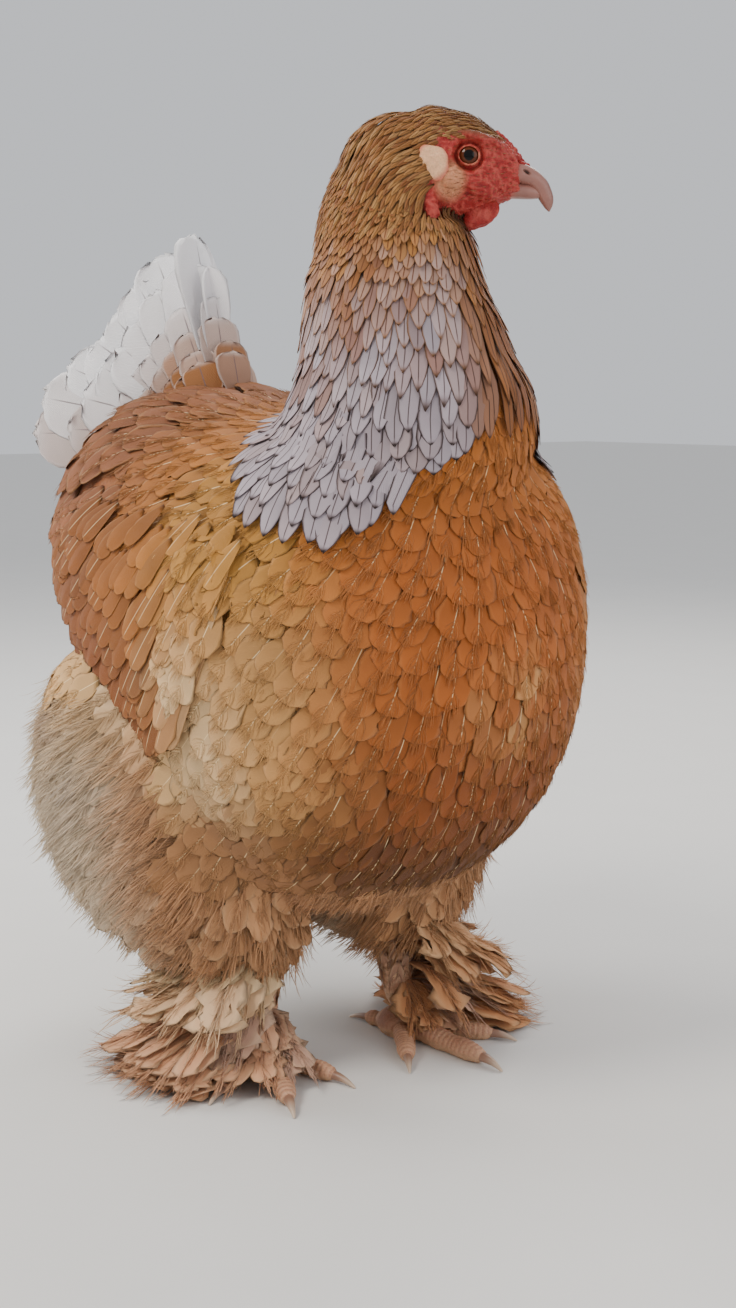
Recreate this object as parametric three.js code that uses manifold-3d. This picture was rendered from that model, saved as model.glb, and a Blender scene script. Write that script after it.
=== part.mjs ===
// A standing brahma hen, life size, in millimetres: a heavy bird with a pea comb, a full hackle and feathered feet.
// She faces +X with her left side towards +Y. The head is turned to her left.
// While the pieces are made the floor is at Z = 0 under her. The finished group is moved so that
// the origin is the centre of her bounding box, on the floor.
import * as THREE from "three";
import Module from "manifold-3d";

const wasm = await Module();
wasm.setup();

// Driving dimensions
const GAP = 0.3; // between pieces that touch
const SLIVER = 0.02; // edges shorter than this are merged away after a cut
const BODY = { rear: -168, front: 142, back: 356, halfWidth: 116 };
const NECK = { base: 300, shoulder: 351, top: 490 };
const HEAD = { at: [88, 23, 475], turn: 54, nod: 7, size: 0.95 };
const EYE = { radius: 6.5, inset: 11.6, lidRing: 6.4, lid: 1.2 };
const FEET = {
  right: { at: [4, -44], toeOut: -24 },
  left: { at: [14, 42], toeOut: 4 },
};
const TOE = { radius: 5.6, claw: 13 };
const TAIL = { root: [-104, 0, 338], rise: 74, length: 112, count: 11, step: 16.5, halfWidth: 17, layer: 1.1 };
const HACKLE = { depth: 9, sunk: 3, thick: 0.8 };
const VANE = { thick: 0.65, tilt: 0.9 };

const radians = THREE.MathUtils.degToRad;
const vector = (p) => new THREE.Vector3(...p);
const mix = THREE.MathUtils.lerp;
const SIDES = { left: 1, right: -1 };

// Solids

function triangleMesh(points, faces) {
  const geometry = new THREE.BufferGeometry();
  geometry.setAttribute("position", new THREE.Float32BufferAttribute(points.flatMap((p) => p.toArray()), 3));
  geometry.setIndex(faces.flat());
  return geometry;
}

function solid(geometry) {
  const plain = new wasm.Mesh({
    numProp: 3,
    vertProperties: new Float32Array(geometry.getAttribute("position").array),
    triVerts: new Uint32Array(geometry.index.array),
  });
  return new wasm.Manifold(plain);
}

// A closed solid from points and faces, turned to face out.
function closed(points, faces) {
  let volume = 0;
  for (const [a, b, c] of faces) volume += points[a].dot(points[b].clone().cross(points[c]));
  return solid(triangleMesh(points, volume < 0 ? faces.map(([a, b, c]) => [a, c, b]) : faces));
}

const join = (solids) => wasm.Manifold.union(solids);

const largest = (made) => made.decompose().reduce((a, b) => (a.volume() > b.volume() ? a : b));

function geometryOf(made) {
  const { numProp, vertProperties, triVerts } = made.getMesh();
  const positions = [];
  for (let i = 0; i < vertProperties.length; i += numProp) positions.push(...vertProperties.subarray(i, i + 3));
  const geometry = new THREE.BufferGeometry();
  geometry.setAttribute("position", new THREE.Float32BufferAttribute(positions, 3));
  geometry.setIndex(Array.from(triVerts));
  return geometry;
}

// A ball stretched to three half sizes, then turned and moved.
function ball(at, sizes, turn = [0, 0, 0], detail = [14, 9]) {
  const geometry = new THREE.SphereGeometry(1, ...detail);
  const rows = detail[1];
  const points = [];
  const faces = [];
  const position = geometry.getAttribute("position");
  const matrix = new THREE.Matrix4().compose(
    vector(at),
    new THREE.Quaternion().setFromEuler(new THREE.Euler(...turn.map(radians))),
    vector(sizes),
  );
  const columns = detail[0];
  const place = (row, column) =>
    row === 0 ? 0 : row === rows ? 1 + columns * (rows - 1) : 1 + (row - 1) * columns + (column % columns);
  for (let row = 0; row <= rows; row++)
    for (let column = 0; column < columns; column++) {
      const index = place(row, column);
      if (points[index]) continue;
      points[index] = new THREE.Vector3()
        .fromBufferAttribute(position, row * (columns + 1) + column)
        .applyMatrix4(matrix);
    }
  for (let row = 0; row < rows; row++)
    for (let column = 0; column < columns; column++) {
      const [a, b, c, d] = [
        place(row, column),
        place(row, column + 1),
        place(row + 1, column),
        place(row + 1, column + 1),
      ];
      if (row > 0) faces.push([a, b, c]);
      if (row < rows - 1) faces.push([b, d, c]);
    }
  return closed(points, faces);
}

// A smooth function of t through rows of [t, value, value, ...].
function through(rows) {
  const size = rows[0].length - 1;
  const times = rows.map((row) => row[0]);
  const spline = new THREE.CubicInterpolant(times, rows.flatMap((row) => row.slice(1)), size, new Float64Array(size));
  const last = times[times.length - 1];
  return (t) => Array.from(spline.evaluate(Math.min(Math.max(t, times[0]), last)));
}

// A round form swept along a line of centres: each row is [t, x, y, z, half width, height above, depth below].
class Form {
  constructor({ rows, left, above, caps = [0.12, 0.12], square = 0.9, around = 24, along = 12, bend = 3 }) {
    Object.assign(this, { left, above, caps, square, around, along, bend });
    this.row = through(rows);
  }

  // Cross sections stand square to the line of centres, or keep one direction where `above` is given.
  frame(t) {
    if (this.above) return { tangent: this.left(t).clone().cross(this.above), side: this.left(t), up: this.above };
    const step = 1e-3;
    const [low, high] = [Math.max(t - step, 0), Math.min(t + step, 1)];
    const tangent = vector(this.row(high).slice(0, 3)).sub(vector(this.row(low).slice(0, 3))).normalize();
    const side = this.left(t).clone();
    side.addScaledVector(tangent, -side.dot(tangent)).normalize();
    return { tangent, side, up: tangent.clone().cross(side) };
  }

  rounding(t) {
    const [start, end] = this.caps;
    const near = t < start ? 1 - t / start : t > 1 - end ? 1 - (1 - t) / end : 0;
    return Math.sqrt(Math.max(1 - near * near, 0));
  }

  point(t, angle) {
    const [x, y, z, width, above, below] = this.row(t);
    const { side, up } = this.frame(t);
    const round = this.rounding(t);
    const [c, s] = [Math.cos(angle), Math.sin(angle)];
    const bulge = (v) => Math.sign(v) * Math.abs(v) ** this.square;
    return new THREE.Vector3(x, y, z)
      .addScaledVector(side, width * round * bulge(c))
      .addScaledVector(up, (s > 0 ? above : below) * round * bulge(s));
  }

  normal(t, angle) {
    const step = 2e-3;
    const inner = Math.min(Math.max(t, 0.01), 0.99);
    const along = this.point(inner + step, angle).sub(this.point(inner - step, angle));
    const around = this.point(inner, angle + step).sub(this.point(inner, angle - step));
    return around.cross(along).normalize();
  }

  stops() {
    const [start, end] = this.caps;
    const bend = this.bend;
    const stops = [];
    for (let i = 1; i < bend; i++) stops.push(start * (1 - Math.cos((i / bend) * Math.PI * 0.5)));
    for (let i = 0; i <= this.along; i++) stops.push(mix(start, 1 - end, i / this.along));
    for (let i = bend - 1; i > 0; i--) stops.push(1 - end * (1 - Math.cos((i / bend) * Math.PI * 0.5)));
    return stops;
  }

  // The closed solid, grown by `out` all round.
  solid(out = 0) {
    const stops = this.stops();
    const points = [];
    const pole = (t, sense) =>
      vector(this.row(t).slice(0, 3)).addScaledVector(this.frame(t).tangent, sense * out);
    points.push(pole(0, -1));
    for (const t of stops)
      for (let i = 0; i < this.around; i++) {
        const angle = (i / this.around) * Math.PI * 2;
        const point = this.point(t, angle);
        if (out) point.addScaledVector(this.normal(t, angle), out);
        points.push(point);
      }
    points.push(pole(1, 1));
    const ring = (row, i) => 1 + row * this.around + (i % this.around);
    const end = points.length - 1;
    const faces = [];
    for (let i = 0; i < this.around; i++) {
      faces.push([0, ring(0, i + 1), ring(0, i)]);
      faces.push([end, ring(stops.length - 1, i), ring(stops.length - 1, i + 1)]);
      for (let row = 0; row < stops.length - 1; row++) {
        const [a, b, c, d] = [ring(row, i), ring(row, i + 1), ring(row + 1, i), ring(row + 1, i + 1)];
        faces.push([a, b, c], [b, d, c]);
      }
    }
    return closed(points, faces);
  }
}

// A thin closed plate: point(u, w, face) gives its outer face (face 1) and inner face (face 0)
// for u from root to tip and w from -1 to 1 across. Both faces are split alike.
function plate(point, rows, columns) {
  const points = [];
  const faces = [];
  const perFace = (rows + 1) * (columns + 1);
  for (const face of [1, 0])
    for (let i = 0; i <= rows; i++)
      for (let j = 0; j <= columns; j++) points.push(point(i / rows, (2 * j) / columns - 1, face));
  const at = (i, j, face) => (face ? 0 : perFace) + i * (columns + 1) + j;
  for (let i = 0; i < rows; i++)
    for (let j = 0; j < columns; j++) {
      const corners = (face) => [at(i, j, face), at(i, j + 1, face), at(i + 1, j, face), at(i + 1, j + 1, face)];
      const [a, b, c, d] = corners(1);
      faces.push([a, b, c], [b, d, c]);
      const [e, f, g, h] = corners(0);
      faces.push([e, g, f], [f, g, h]);
    }
  const rim = [];
  for (let j = 0; j < columns; j++) rim.push([0, j]);
  for (let i = 0; i < rows; i++) rim.push([i, columns]);
  for (let j = columns; j > 0; j--) rim.push([rows, j]);
  for (let i = rows; i > 0; i--) rim.push([i, 0]);
  rim.forEach(([i, j], k) => {
    const [m, n] = rim[(k + 1) % rim.length];
    faces.push([at(i, j, 1), at(i, j, 0), at(m, n, 0)], [at(i, j, 1), at(m, n, 0), at(m, n, 1)]);
  });
  return closed(points, faces);
}

// The torso: [share from rear to front, height of the widest place, then half width, rise above and depth below].
// Heights are shares of the height of the back, widths of the greatest half width.
const TORSO_ROWS = [
  [0, 0.8, 0.56, 0.14, 0.17],
  [0.05, 0.79, 0.67, 0.18, 0.22],
  [0.12, 0.78, 0.79, 0.225, 0.27],
  [0.2, 0.77, 0.87, 0.25, 0.3],
  [0.31, 0.755, 0.95, 0.262, 0.37],
  [0.47, 0.73, 1, 0.262, 0.45],
  [0.63, 0.7, 1.01, 0.285, 0.45],
  [0.78, 0.68, 0.96, 0.305, 0.39],
  [0.89, 0.67, 0.82, 0.285, 0.3],
  [0.96, 0.67, 0.68, 0.235, 0.235],
  [1, 0.67, 0.6, 0.2, 0.2],
];
const ALONG_X = new THREE.Vector3(1, 0, 0);
const ALONG_Y = new THREE.Vector3(0, 1, 0);
const ALONG_Z = new THREE.Vector3(0, 0, 1);
const torsoLength = BODY.front - BODY.rear;
const torso = new Form({
  rows: TORSO_ROWS.map(([t, height, width, above, below]) => [
    t,
    BODY.rear + t * torsoLength,
    0,
    height * BODY.back,
    width * BODY.halfWidth,
    above * BODY.back,
    below * BODY.back,
  ]),
  left: () => ALONG_Y,
  above: ALONG_Z,
  caps: [0.13, 0.15],
  square: 0.86,
  around: 24,
  along: 8,
});

// Moves a point that lies in the torso out to a clearance above its surface.
function clearOfTorso(point, clearance) {
  const t = (point.x - BODY.rear) / torsoLength;
  if (t <= 0 || t >= 1) return point;
  const [, , z, width, above, below] = torso.row(t);
  const round = torso.rounding(t);
  const rise = point.z - z;
  const power = 2 / torso.square;
  const size = [width * round, (rise > 0 ? above : below) * round];
  const fill =
    ((Math.abs(point.y) / size[0]) ** power + (Math.abs(rise) / size[1]) ** power) ** (1 / power);
  const reach = Math.hypot(point.y, rise) / fill;
  const wanted = (reach + clearance) / reach;
  if (fill >= wanted) return point;
  return new THREE.Vector3(point.x, (point.y * wanted) / fill, z + (rise * wanted) / fill);
}

// The neck, from inside the body up to the back of the head. Its throat turns with the head.
const neckTurn = (t) => radians(mix(14, HEAD.turn, Math.max(t, 0) ** 1.3));
const neck = new Form({
  rows: [
    [0, 60, 0, NECK.base, 66, 56, 52],
    [0.28, 72, 0, NECK.shoulder, 62, 62, 62],
    [0.41, 70, 0, 376, 54, 55, 53],
    [0.55, 65, 0, 402, 48, 49, 46],
    [0.67, 62, 1, 423, 44, 45, 41],
    [0.8, 59, 1, 448, 37, 37, 35],
    [0.92, 66, 4, 470, 31, 30, 27],
    [1, 76, 10, NECK.top, 23, 19, 20],
  ],
  left: (t) => new THREE.Vector3(-Math.sin(neckTurn(t)), Math.cos(neckTurn(t)), 0),
  caps: [0.05, 0.08],
  square: 0.95,
  around: 14,
  along: 4,
  bend: 2,
});

// The hackle's surface: down the neck, then as a cape over the shoulders. `down` runs from 0 at the head.
const NECK_LENGTH = NECK.top - NECK.shoulder;
const SHOULDER_T = 0.28;
// How far the cape reaches past the shoulder, by degrees from the throat round to the nape.
const capeLength = through([
  [0, 10],
  [25, 20],
  [55, 44],
  [83, 76],
  [105, 72],
  [130, 45],
  [150, 28],
  [180, 18],
]);
function capeReach(angle) {
  const fromThroat = Math.acos(Math.min(Math.max(-Math.sin(angle), -1), 1));
  return capeLength(THREE.MathUtils.radToDeg(fromThroat))[0];
}
function hackleBase(angle, down, clearance) {
  if (down <= NECK_LENGTH) {
    const t = mix(1, SHOULDER_T, down / NECK_LENGTH);
    return clearOfTorso(neck.point(t, angle), clearance);
  }
  const { side, up } = neck.frame(SHOULDER_T);
  const away = side.clone().multiplyScalar(Math.cos(angle)).addScaledVector(up, Math.sin(angle));
  const over = down - NECK_LENGTH;
  const point = neck.point(SHOULDER_T, angle);
  point.addScaledVector(away, over * 0.55).add(new THREE.Vector3(0, 0, -over * 0.8));
  return clearOfTorso(point, clearance);
}
function hacklePoint(angle, down, out, clearance = 1.5) {
  const step = 1;
  const at = hackleBase(angle, down, clearance);
  const along = hackleBase(angle, down + step, clearance).sub(hackleBase(angle, down - step, clearance));
  const around = hackleBase(angle + 0.03, down, clearance).sub(hackleBase(angle - 0.03, down, clearance));
  const normal = along.cross(around).normalize();
  return at.addScaledVector(normal, out);
}

// The share of its greatest width that a feather has from root to tip.
const featherWidth = through([
  [0, 0.45],
  [0.35, 0.85],
  [0.65, 1],
  [0.9, 0.7],
  [1, 0.22],
]);
// The same for feathers that fan out from one place: narrow at the root and broad near the tip.
const fanFeatherWidth = through([
  [0, 0.14],
  [0.4, 0.55],
  [0.75, 1],
  [0.93, 0.7],
  [1, 0.25],
]);
// A feather's height above its own middle layer: louvred across, with a raised shaft.
const featherLayer = (w, face, thick, tilt) => tilt * w + (face ? thick * (w === 0 ? 1.4 : 1) : 0);

// The tiers of the hackle from the edge of the cape up to the head. Shares are of the way down from the head.
const HACKLE_TIERS = [
  { tip: 1, length: 0.4, count: 15, rows: 3 },
  { tip: 0.83, length: 0.37, count: 13, rows: 3 },
  { tip: 0.67, length: 0.32, count: 10, rows: 2 },
  { tip: 0.52, length: 0.26, count: 8, rows: 2 },
  { tip: 0.39, length: 0.2, count: 7, rows: 2 },
  { tip: 0.28, length: 0.15, count: 5, rows: 2 },
];
function hackleVane(tier, angle) {
  const { tip, length, count, rows } = HACKLE_TIERS[tier];
  const total = NECK_LENGTH + capeReach(angle);
  return plate(
    (u, w, face) => {
      const down = total * (tip - length * (1 - u));
      const layer = featherLayer(w, face, HACKLE.thick, 0);
      const lift = mix(-HACKLE.depth - HACKLE.sunk, -1, u ** 0.8);
      const across = angle + ((w * Math.PI) / count) * 0.97 * featherWidth(u)[0];
      const free = hacklePoint(across, down, lift + layer, 0);
      return clearOfTorso(free, 1.6 + 2 * tier + layer);
    },
    rows,
    1,
  );
}
function hackle() {
  return HACKLE_TIERS.flatMap(({ count }, tier) =>
    Array.from({ length: count }, (_, i) => hackleVane(tier, ((i + (tier % 2) / 2) / count) * Math.PI * 2)),
  );
}

// The room that the cape takes up: a closed sleeve round the neck and shoulders.
function capeSleeve(outside, past) {
  const [rows, columns] = [8, 24];
  const points = [];
  const faces = [];
  const at = (i, j, face) => face * (rows + 1) * columns + i * columns + (j % columns);
  for (const face of [0, 1])
    for (let i = 0; i <= rows; i++)
      for (let j = 0; j < columns; j++) {
        const angle = (j / columns) * Math.PI * 2;
        const total = NECK_LENGTH + capeReach(angle) + past;
        points.push(hacklePoint(angle, mix(16, total, i / rows), face ? outside : -6));
      }
  for (let j = 0; j < columns; j++) {
    for (let i = 0; i < rows; i++) {
      const corners = (face) => [at(i, j, face), at(i, j + 1, face), at(i + 1, j, face), at(i + 1, j + 1, face)];
      const [a, b, c, d] = corners(1);
      faces.push([a, b, c], [b, d, c]);
      const [e, f, g, h] = corners(0);
      faces.push([e, g, f], [f, g, h]);
    }
    for (const i of [0, rows]) {
      const [a, b, c, d] = [at(i, j, 1), at(i, j + 1, 1), at(i, j, 0), at(i, j + 1, 0)];
      const strip = [
        [a, c, b],
        [b, c, d],
      ];
      faces.push(...(i === 0 ? strip : strip.map(([p, q, r]) => [p, r, q])));
    }
  }
  return closed(points, faces);
}

// The head, in its own frame: +X to the beak, +Y to its left, the eyes level with its origin.
const headFrame = new THREE.Matrix4().compose(
  vector(HEAD.at),
  new THREE.Quaternion().setFromEuler(new THREE.Euler(0, radians(HEAD.nod), radians(HEAD.turn), "ZYX")),
  new THREE.Vector3(HEAD.size, HEAD.size, HEAD.size),
);
const skull = new Form({
  rows: [
    [0, -38, 0, -8, 15, 16, 24],
    [0.2, -24, 0, -7, 19.5, 26.5, 28],
    [0.42, -10, 0, -6, 19.5, 27, 27],
    [0.62, 3, 0, -6, 17.6, 25.2, 23],
    [0.78, 14, 0, -6, 14, 20, 17.5],
    [0.9, 22, 0, -6, 10.5, 15, 13],
    [1, 29.5, 0, -6, 7.5, 7.5, 9],
  ],
  left: () => ALONG_Y,
  caps: [0.14, 0.07],
  square: 0.95,
  around: 16,
  along: 6,
});
const upperBeak = new Form({
  rows: [
    [0, 20, 0, -4, 8, 6, 5],
    [0.3, 29, 0, -4.6, 7, 6.3, 5],
    [0.55, 36, 0, -6.6, 5.2, 5.4, 4],
    [0.78, 41.5, 0, -11.4, 3.6, 4.2, 3.3],
    [0.92, 45.2, 0, -17, 2.2, 2.8, 2],
    [1, 46.4, 0, -21, 0.8, 0.9, 0.8],
  ],
  left: () => ALONG_Y,
  caps: [0.02, 0.05],
  square: 0.95,
  around: 12,
  along: 6,
});
const lowerBeak = new Form({
  rows: [
    [0, 19, 0, -12.7, 7.4, 4, 4.8],
    [0.4, 29, 0, -12.6, 6, 4, 4],
    [0.75, 37, 0, -12.8, 4, 4, 2.9],
    [1, 43, 0, -13.4, 1.6, 2, 1],
  ],
  left: () => ALONG_Y,
  caps: [0.02, 0.1],
  square: 0.95,
  around: 10,
  along: 4,
});

function headSolid() {
  const eyeBall = (side, radius) => ball([0, side * EYE.inset, 0], [radius, radius, radius], [0, 0, 0], [12, 7]);
  const lids = Object.values(SIDES).map(lidRing);
  const sockets = Object.values(SIDES).map((side) => eyeBall(side, EYE.radius + GAP));
  const ears = Object.values(SIDES).map((side) => ball([-13, side * 20.4, 1], [3, 3, 3], [0, 0, 0], [8, 5]));
  const body = join([skull.solid(), ...cheeks(), ...lids, ...lappets()]);
  return largest(body.subtract(join([...sockets, ...ears])));
}

// A ring of lid round the eye, as a tube swept in a circle.
function lidRing(side) {
  const [around, section] = [14, 5];
  const points = [];
  const faces = [];
  for (let i = 0; i < around; i++)
    for (let j = 0; j < section; j++) {
      const [a, b] = [(i / around) * Math.PI * 2, (j / section) * Math.PI * 2];
      const reach = EYE.lidRing + EYE.lid * Math.cos(b);
      const out = EYE.inset + 5.6 + EYE.lid * Math.sin(b);
      points.push(new THREE.Vector3(reach * Math.cos(a) * 1.06, side * out, reach * Math.sin(a) * 0.94));
    }
  const at = (i, j) => (i % around) * section + (j % section);
  for (let i = 0; i < around; i++)
    for (let j = 0; j < section; j++)
      faces.push([at(i, j), at(i + 1, j), at(i, j + 1)], [at(i + 1, j), at(i + 1, j + 1), at(i, j + 1)]);
  return closed(points, faces);
}

// The corners of the mouth.
function cheeks() {
  return Object.values(SIDES).map((side) => ball([22, side * 6.6, -11.2], [6, 3, 2.6], [0, 12, 0], [8, 5]));
}

// The red skin that hangs behind the jaw, below the earlobes.
function lappets() {
  return Object.values(SIDES).map((side) => ball([-16, side * 17, -23], [4.6, 5, 12], [side * 8, 14, 0], [8, 6]));
}

// A low pea comb: three rows of small bumps down the forehead.
function combSolid() {
  const bumps = [];
  for (let i = 0; i < 6; i++) {
    const x = mix(15, 30, i / 5);
    const top = foreheadTop(x)[0];
    bumps.push(ball([x, 0, top], [2.6, 1.9, 2.9 - 0.2 * i], [0, 0, 0], [8, 5]));
    for (const side of [1, -1])
      bumps.push(ball([x - 0.6, side * 3.3, top - 1.1], [2.5, 1.7, 2.2 - 0.15 * i], [0, 0, 0], [8, 5]));
  }
  return join(bumps);
}
const foreheadTop = through([
  [4, 18.6],
  [14, 13.6],
  [22, 8.4],
  [30, 0.6],
]);

function nostrils() {
  return join([1, -1].map((side) => ball([31.5, side * 6.6, -3.2], [2.4, 1.6, 0.9], [0, 20, 0], [6, 4])));
}

// One leg: thigh, shank and foot.
function thighForm(side, foot) {
  return new Form({
    rows: [
      [0, -50, side * 60, 236, 46, 66, 62],
      [0.2, -58, side * 66, 200, 58, 82, 80],
      [0.4, -60, side * 68, 160, 63, 92, 90],
      [0.58, -58, side * 68, 124, 61, 92, 88],
      [0.74, -50, side * 65, 94, 56, 84, 76],
      [0.88, -34, side * 58, 68, 45, 64, 54],
      [1, foot.at[0] - 12, side * 50, 42, 30, 40, 34],
    ],
    left: () => ALONG_Y,
    above: ALONG_X,
    caps: [0.14, 0.14],
    square: 0.95,
    around: 16,
    along: 5,
  });
}
// The fluff of the abdomen, behind and between the thighs.
const fluff = new Form({
  rows: [
    [0, -172, 0, 176, 56, 40, 50],
    [0.15, -158, 0, 170, 84, 56, 70],
    [0.4, -110, 0, 164, 96, 70, 86],
    [0.7, -60, 0, 160, 84, 70, 76],
    [1, -10, 0, 160, 60, 60, 50],
  ],
  left: () => ALONG_Y,
  above: ALONG_Z,
  caps: [0.25, 0.1],
  square: 0.9,
  around: 18,
  along: 4,
});
function shankForm(foot) {
  const [x, y] = foot.at;
  return new Form({
    rows: [
      [0, x - 8, y, 96, 14, 14, 15],
      [0.5, x - 5, y, 52, 12, 12, 13],
      [1, x - 1, y, 17, 10, 10, 11],
    ],
    left: () => ALONG_Y,
    caps: [0.08, 0.05],
    square: 0.95,
    around: 10,
    along: 2,
    bend: 2,
  });
}
const TOES = [
  { name: "inner", spread: 38, length: 50, thick: 0.9 },
  { name: "middle", spread: 0, length: 68, thick: 1 },
  { name: "outer", spread: -36, length: 54, thick: 0.9 },
  { name: "hind", spread: 172, length: 26, thick: 0.8 },
];
// A toe's own line along the floor: where it starts, which way it runs and its left side.
function toeLine(side, foot, toe) {
  const heading = radians(foot.toeOut - side * toe.spread);
  const ahead = new THREE.Vector3(Math.cos(heading), Math.sin(heading), 0);
  const left = new THREE.Vector3(-Math.sin(heading), Math.cos(heading), 0);
  return { start: new THREE.Vector3(foot.at[0], foot.at[1], 0), ahead, left };
}
function toeForm(side, foot, toe) {
  const { start, ahead, left } = toeLine(side, foot, toe);
  const radius = TOE.radius * toe.thick;
  const row = (t, share, thick, height) => {
    const at = start.clone().addScaledVector(ahead, share * toe.length);
    return [t, at.x, at.y, height * radius, thick * radius, thick * radius, thick * radius];
  };
  return new Form({
    rows: [
      row(0, 0, 1.25, 1.1),
      row(0.3, 0.3, 1, 1),
      row(0.45, 0.45, 1.08, 0.95),
      row(0.6, 0.6, 0.92, 0.85),
      row(0.78, 0.78, 0.98, 0.85),
      row(1, 1, 0.62, 0.75),
    ],
    left: () => left,
    caps: [0.05, 0.1],
    square: 0.95,
    around: 8,
    along: 5,
    bend: 1,
  });
}
function clawForm(side, foot, toe) {
  const { start, ahead, left } = toeLine(side, foot, toe);
  const radius = TOE.radius * toe.thick;
  const row = (t, past, thick, height) => {
    const at = start.clone().addScaledVector(ahead, toe.length + past * TOE.claw);
    return [t, at.x, at.y, height, thick, thick, thick];
  };
  return new Form({
    rows: [
      row(0, -0.4, 0.5 * radius, 0.85 * radius),
      row(0.35, 0.05, 0.46 * radius, 0.85 * radius),
      row(0.7, 0.55, 0.3 * radius, 0.62 * radius),
      row(1, 1, 0.1 * radius, 0.16 * radius),
    ],
    left: () => left,
    caps: [0.03, 0.06],
    square: 1,
    around: 6,
    along: 2,
    bend: 1,
  });
}
const belowFloor = () => {
  const slab = new THREE.BoxGeometry(1000, 1000, 100);
  slab.translate(0, 0, -50);
  const position = slab.getAttribute("position");
  const keys = new Map();
  const points = [];
  const remap = [];
  for (let i = 0; i < position.count; i++) {
    const point = new THREE.Vector3().fromBufferAttribute(position, i);
    const key = point.toArray().join();
    if (!keys.has(key)) {
      keys.set(key, points.length);
      points.push(point);
    }
    remap.push(keys.get(key));
  }
  const index = Array.from(slab.index.array, (i) => remap[i]);
  const faces = [];
  for (let i = 0; i < index.length; i += 3) faces.push(index.slice(i, i + 3));
  return closed(points, faces);
};

// A place on the body's side, by its height and its share of the body's length.
const sideAngle = (side, z, t) => {
  const [, , centre, , above, below] = torso.row(t);
  const rise = (z - centre) / ((z > centre ? above : below) * torso.rounding(t));
  const lift = Math.asin(Math.sign(rise) * Math.min(Math.abs(rise), 1) ** (1 / torso.square));
  return side > 0 ? lift : Math.PI - lift;
};
function onSide(side, x, z, out) {
  const t = (x - BODY.rear) / torsoLength;
  const angle = sideAngle(side, z, t);
  return torso.point(t, angle).addScaledVector(torso.normal(t, angle), out);
}
const WING = { front: 74, rear: -130, thickness: 8 };
// Lower and upper edge of the wing as heights, by the share of its length from front to rear.
const wingEdges = through([
  [0, 244, 288],
  [0.15, 204, 300],
  [0.33, 182, 304],
  [0.52, 190, 305],
  [0.7, 212, 303],
  [0.86, 238, 297],
  [1, 264, 284],
]);
// The wing's room on the body's side, between two heights above it.
function wingRoom(side, inner, outer) {
  return plate(
    (u, w, face) => {
      const [low, high] = wingEdges(u);
      return onSide(side, mix(WING.front, WING.rear, u), mix(low - 4, high, (w + 1) / 2), face ? outer : inner);
    },
    12,
    4,
  );
}
// The hand and arm under the feathers, half as long and deep as the folded wing.
function wingCore(side) {
  return plate(
    (u, w, face) => {
      const [low, high] = wingEdges(mix(0, 0.8, u));
      const z = mix(mix(low, high, 0.5), high, (w + 1) / 2);
      const edge = 1 - Math.max(Math.abs(w), Math.abs(2 * u - 1)) ** 4;
      return onSide(side, mix(WING.front, mix(WING.front, WING.rear, 0.8), u), z, face ? 2.4 + 3.4 * edge : -4);
    },
    5,
    3,
  );
}
// The wing's tiers from its lower border up: how far a tier's tips lie above the border, feather length,
// and the heights of root and tip above the body.
const WING_TIERS = [
  { up: 0, length: 84, count: 7, root: 3, tip: 3.6, from: 0.3, to: 0.98 },
  { up: 0.3, length: 64, count: 5, root: 4, tip: 7.6, from: 0.22, to: 0.84 },
  { up: 0.56, length: 46, count: 4, root: 4.6, tip: 11, from: 0.17, to: 0.7 },
];
function wingVanes(side) {
  return WING_TIERS.flatMap(({ up, length, count, root, tip, from, to }) =>
    Array.from({ length: count }, (_, i) => {
      const share = mix(from, to, i / (count - 1));
      const [low, high] = wingEdges(share);
      const slope = radians(mix(62, 28, share));
      const end = [mix(WING.front, WING.rear, share), mix(low, high, up)];
      const reach = length * mix(0.72, 1.1, share);
      return plate(
        (u, w, face) => {
          const back = reach * (1 - u);
          const across = 16 * w * featherWidth(u)[0];
          const x = end[0] + back * Math.cos(slope) + across * Math.sin(slope);
          const z = Math.min(end[1] + back * Math.sin(slope) - across * Math.cos(slope), high + 4);
          return onSide(side, x, z, mix(root, tip, u) + featherLayer(w, face, VANE.thick, VANE.tilt));
        },
        3,
        1,
      );
    }),
  );
}

// The tail is a tent of feathers that fan out from one root. `fan` is the angle from the middle feather.
function tailDirection(fan) {
  const spread = Math.abs(fan);
  const rise = radians(TAIL.rise);
  const up = new THREE.Vector3(-Math.cos(rise), 0, Math.sin(rise));
  const across = new THREE.Vector3(0, Math.sign(fan) || 1, 0);
  return up
    .multiplyScalar(Math.cos(spread))
    .addScaledVector(across, Math.sin(spread) * 0.82)
    .add(new THREE.Vector3(-0.62 * Math.sin(spread), 0, -0.1 * Math.sin(spread)))
    .normalize();
}
// The length of the fan's feathers from the middle one out to the outermost.
const tailLength = through([
  [0, TAIL.length],
  [0.3, 98],
  [0.55, 94],
  [0.8, 106],
  [1, 116],
]);
// The way a tail feather runs, the way across it and the outward side of the fan there.
function tailFrame(fan) {
  const direction = tailDirection(fan);
  const across = tailDirection(fan + 0.02).sub(tailDirection(fan - 0.02)).normalize();
  const normal = direction.clone().cross(across).normalize();
  return { direction, across, normal: normal.x < 0 ? normal.negate() : normal };
}
// The height of a feather's layer in the fan: the middle one lies on top, left and right by turns.
const tailLayer = (place) => -TAIL.layer * (2 * Math.abs(place) - (place > 0 ? 1 : 0));
const tailReach = (fan) => tailLength(Math.abs(fan) / radians(88))[0];

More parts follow.
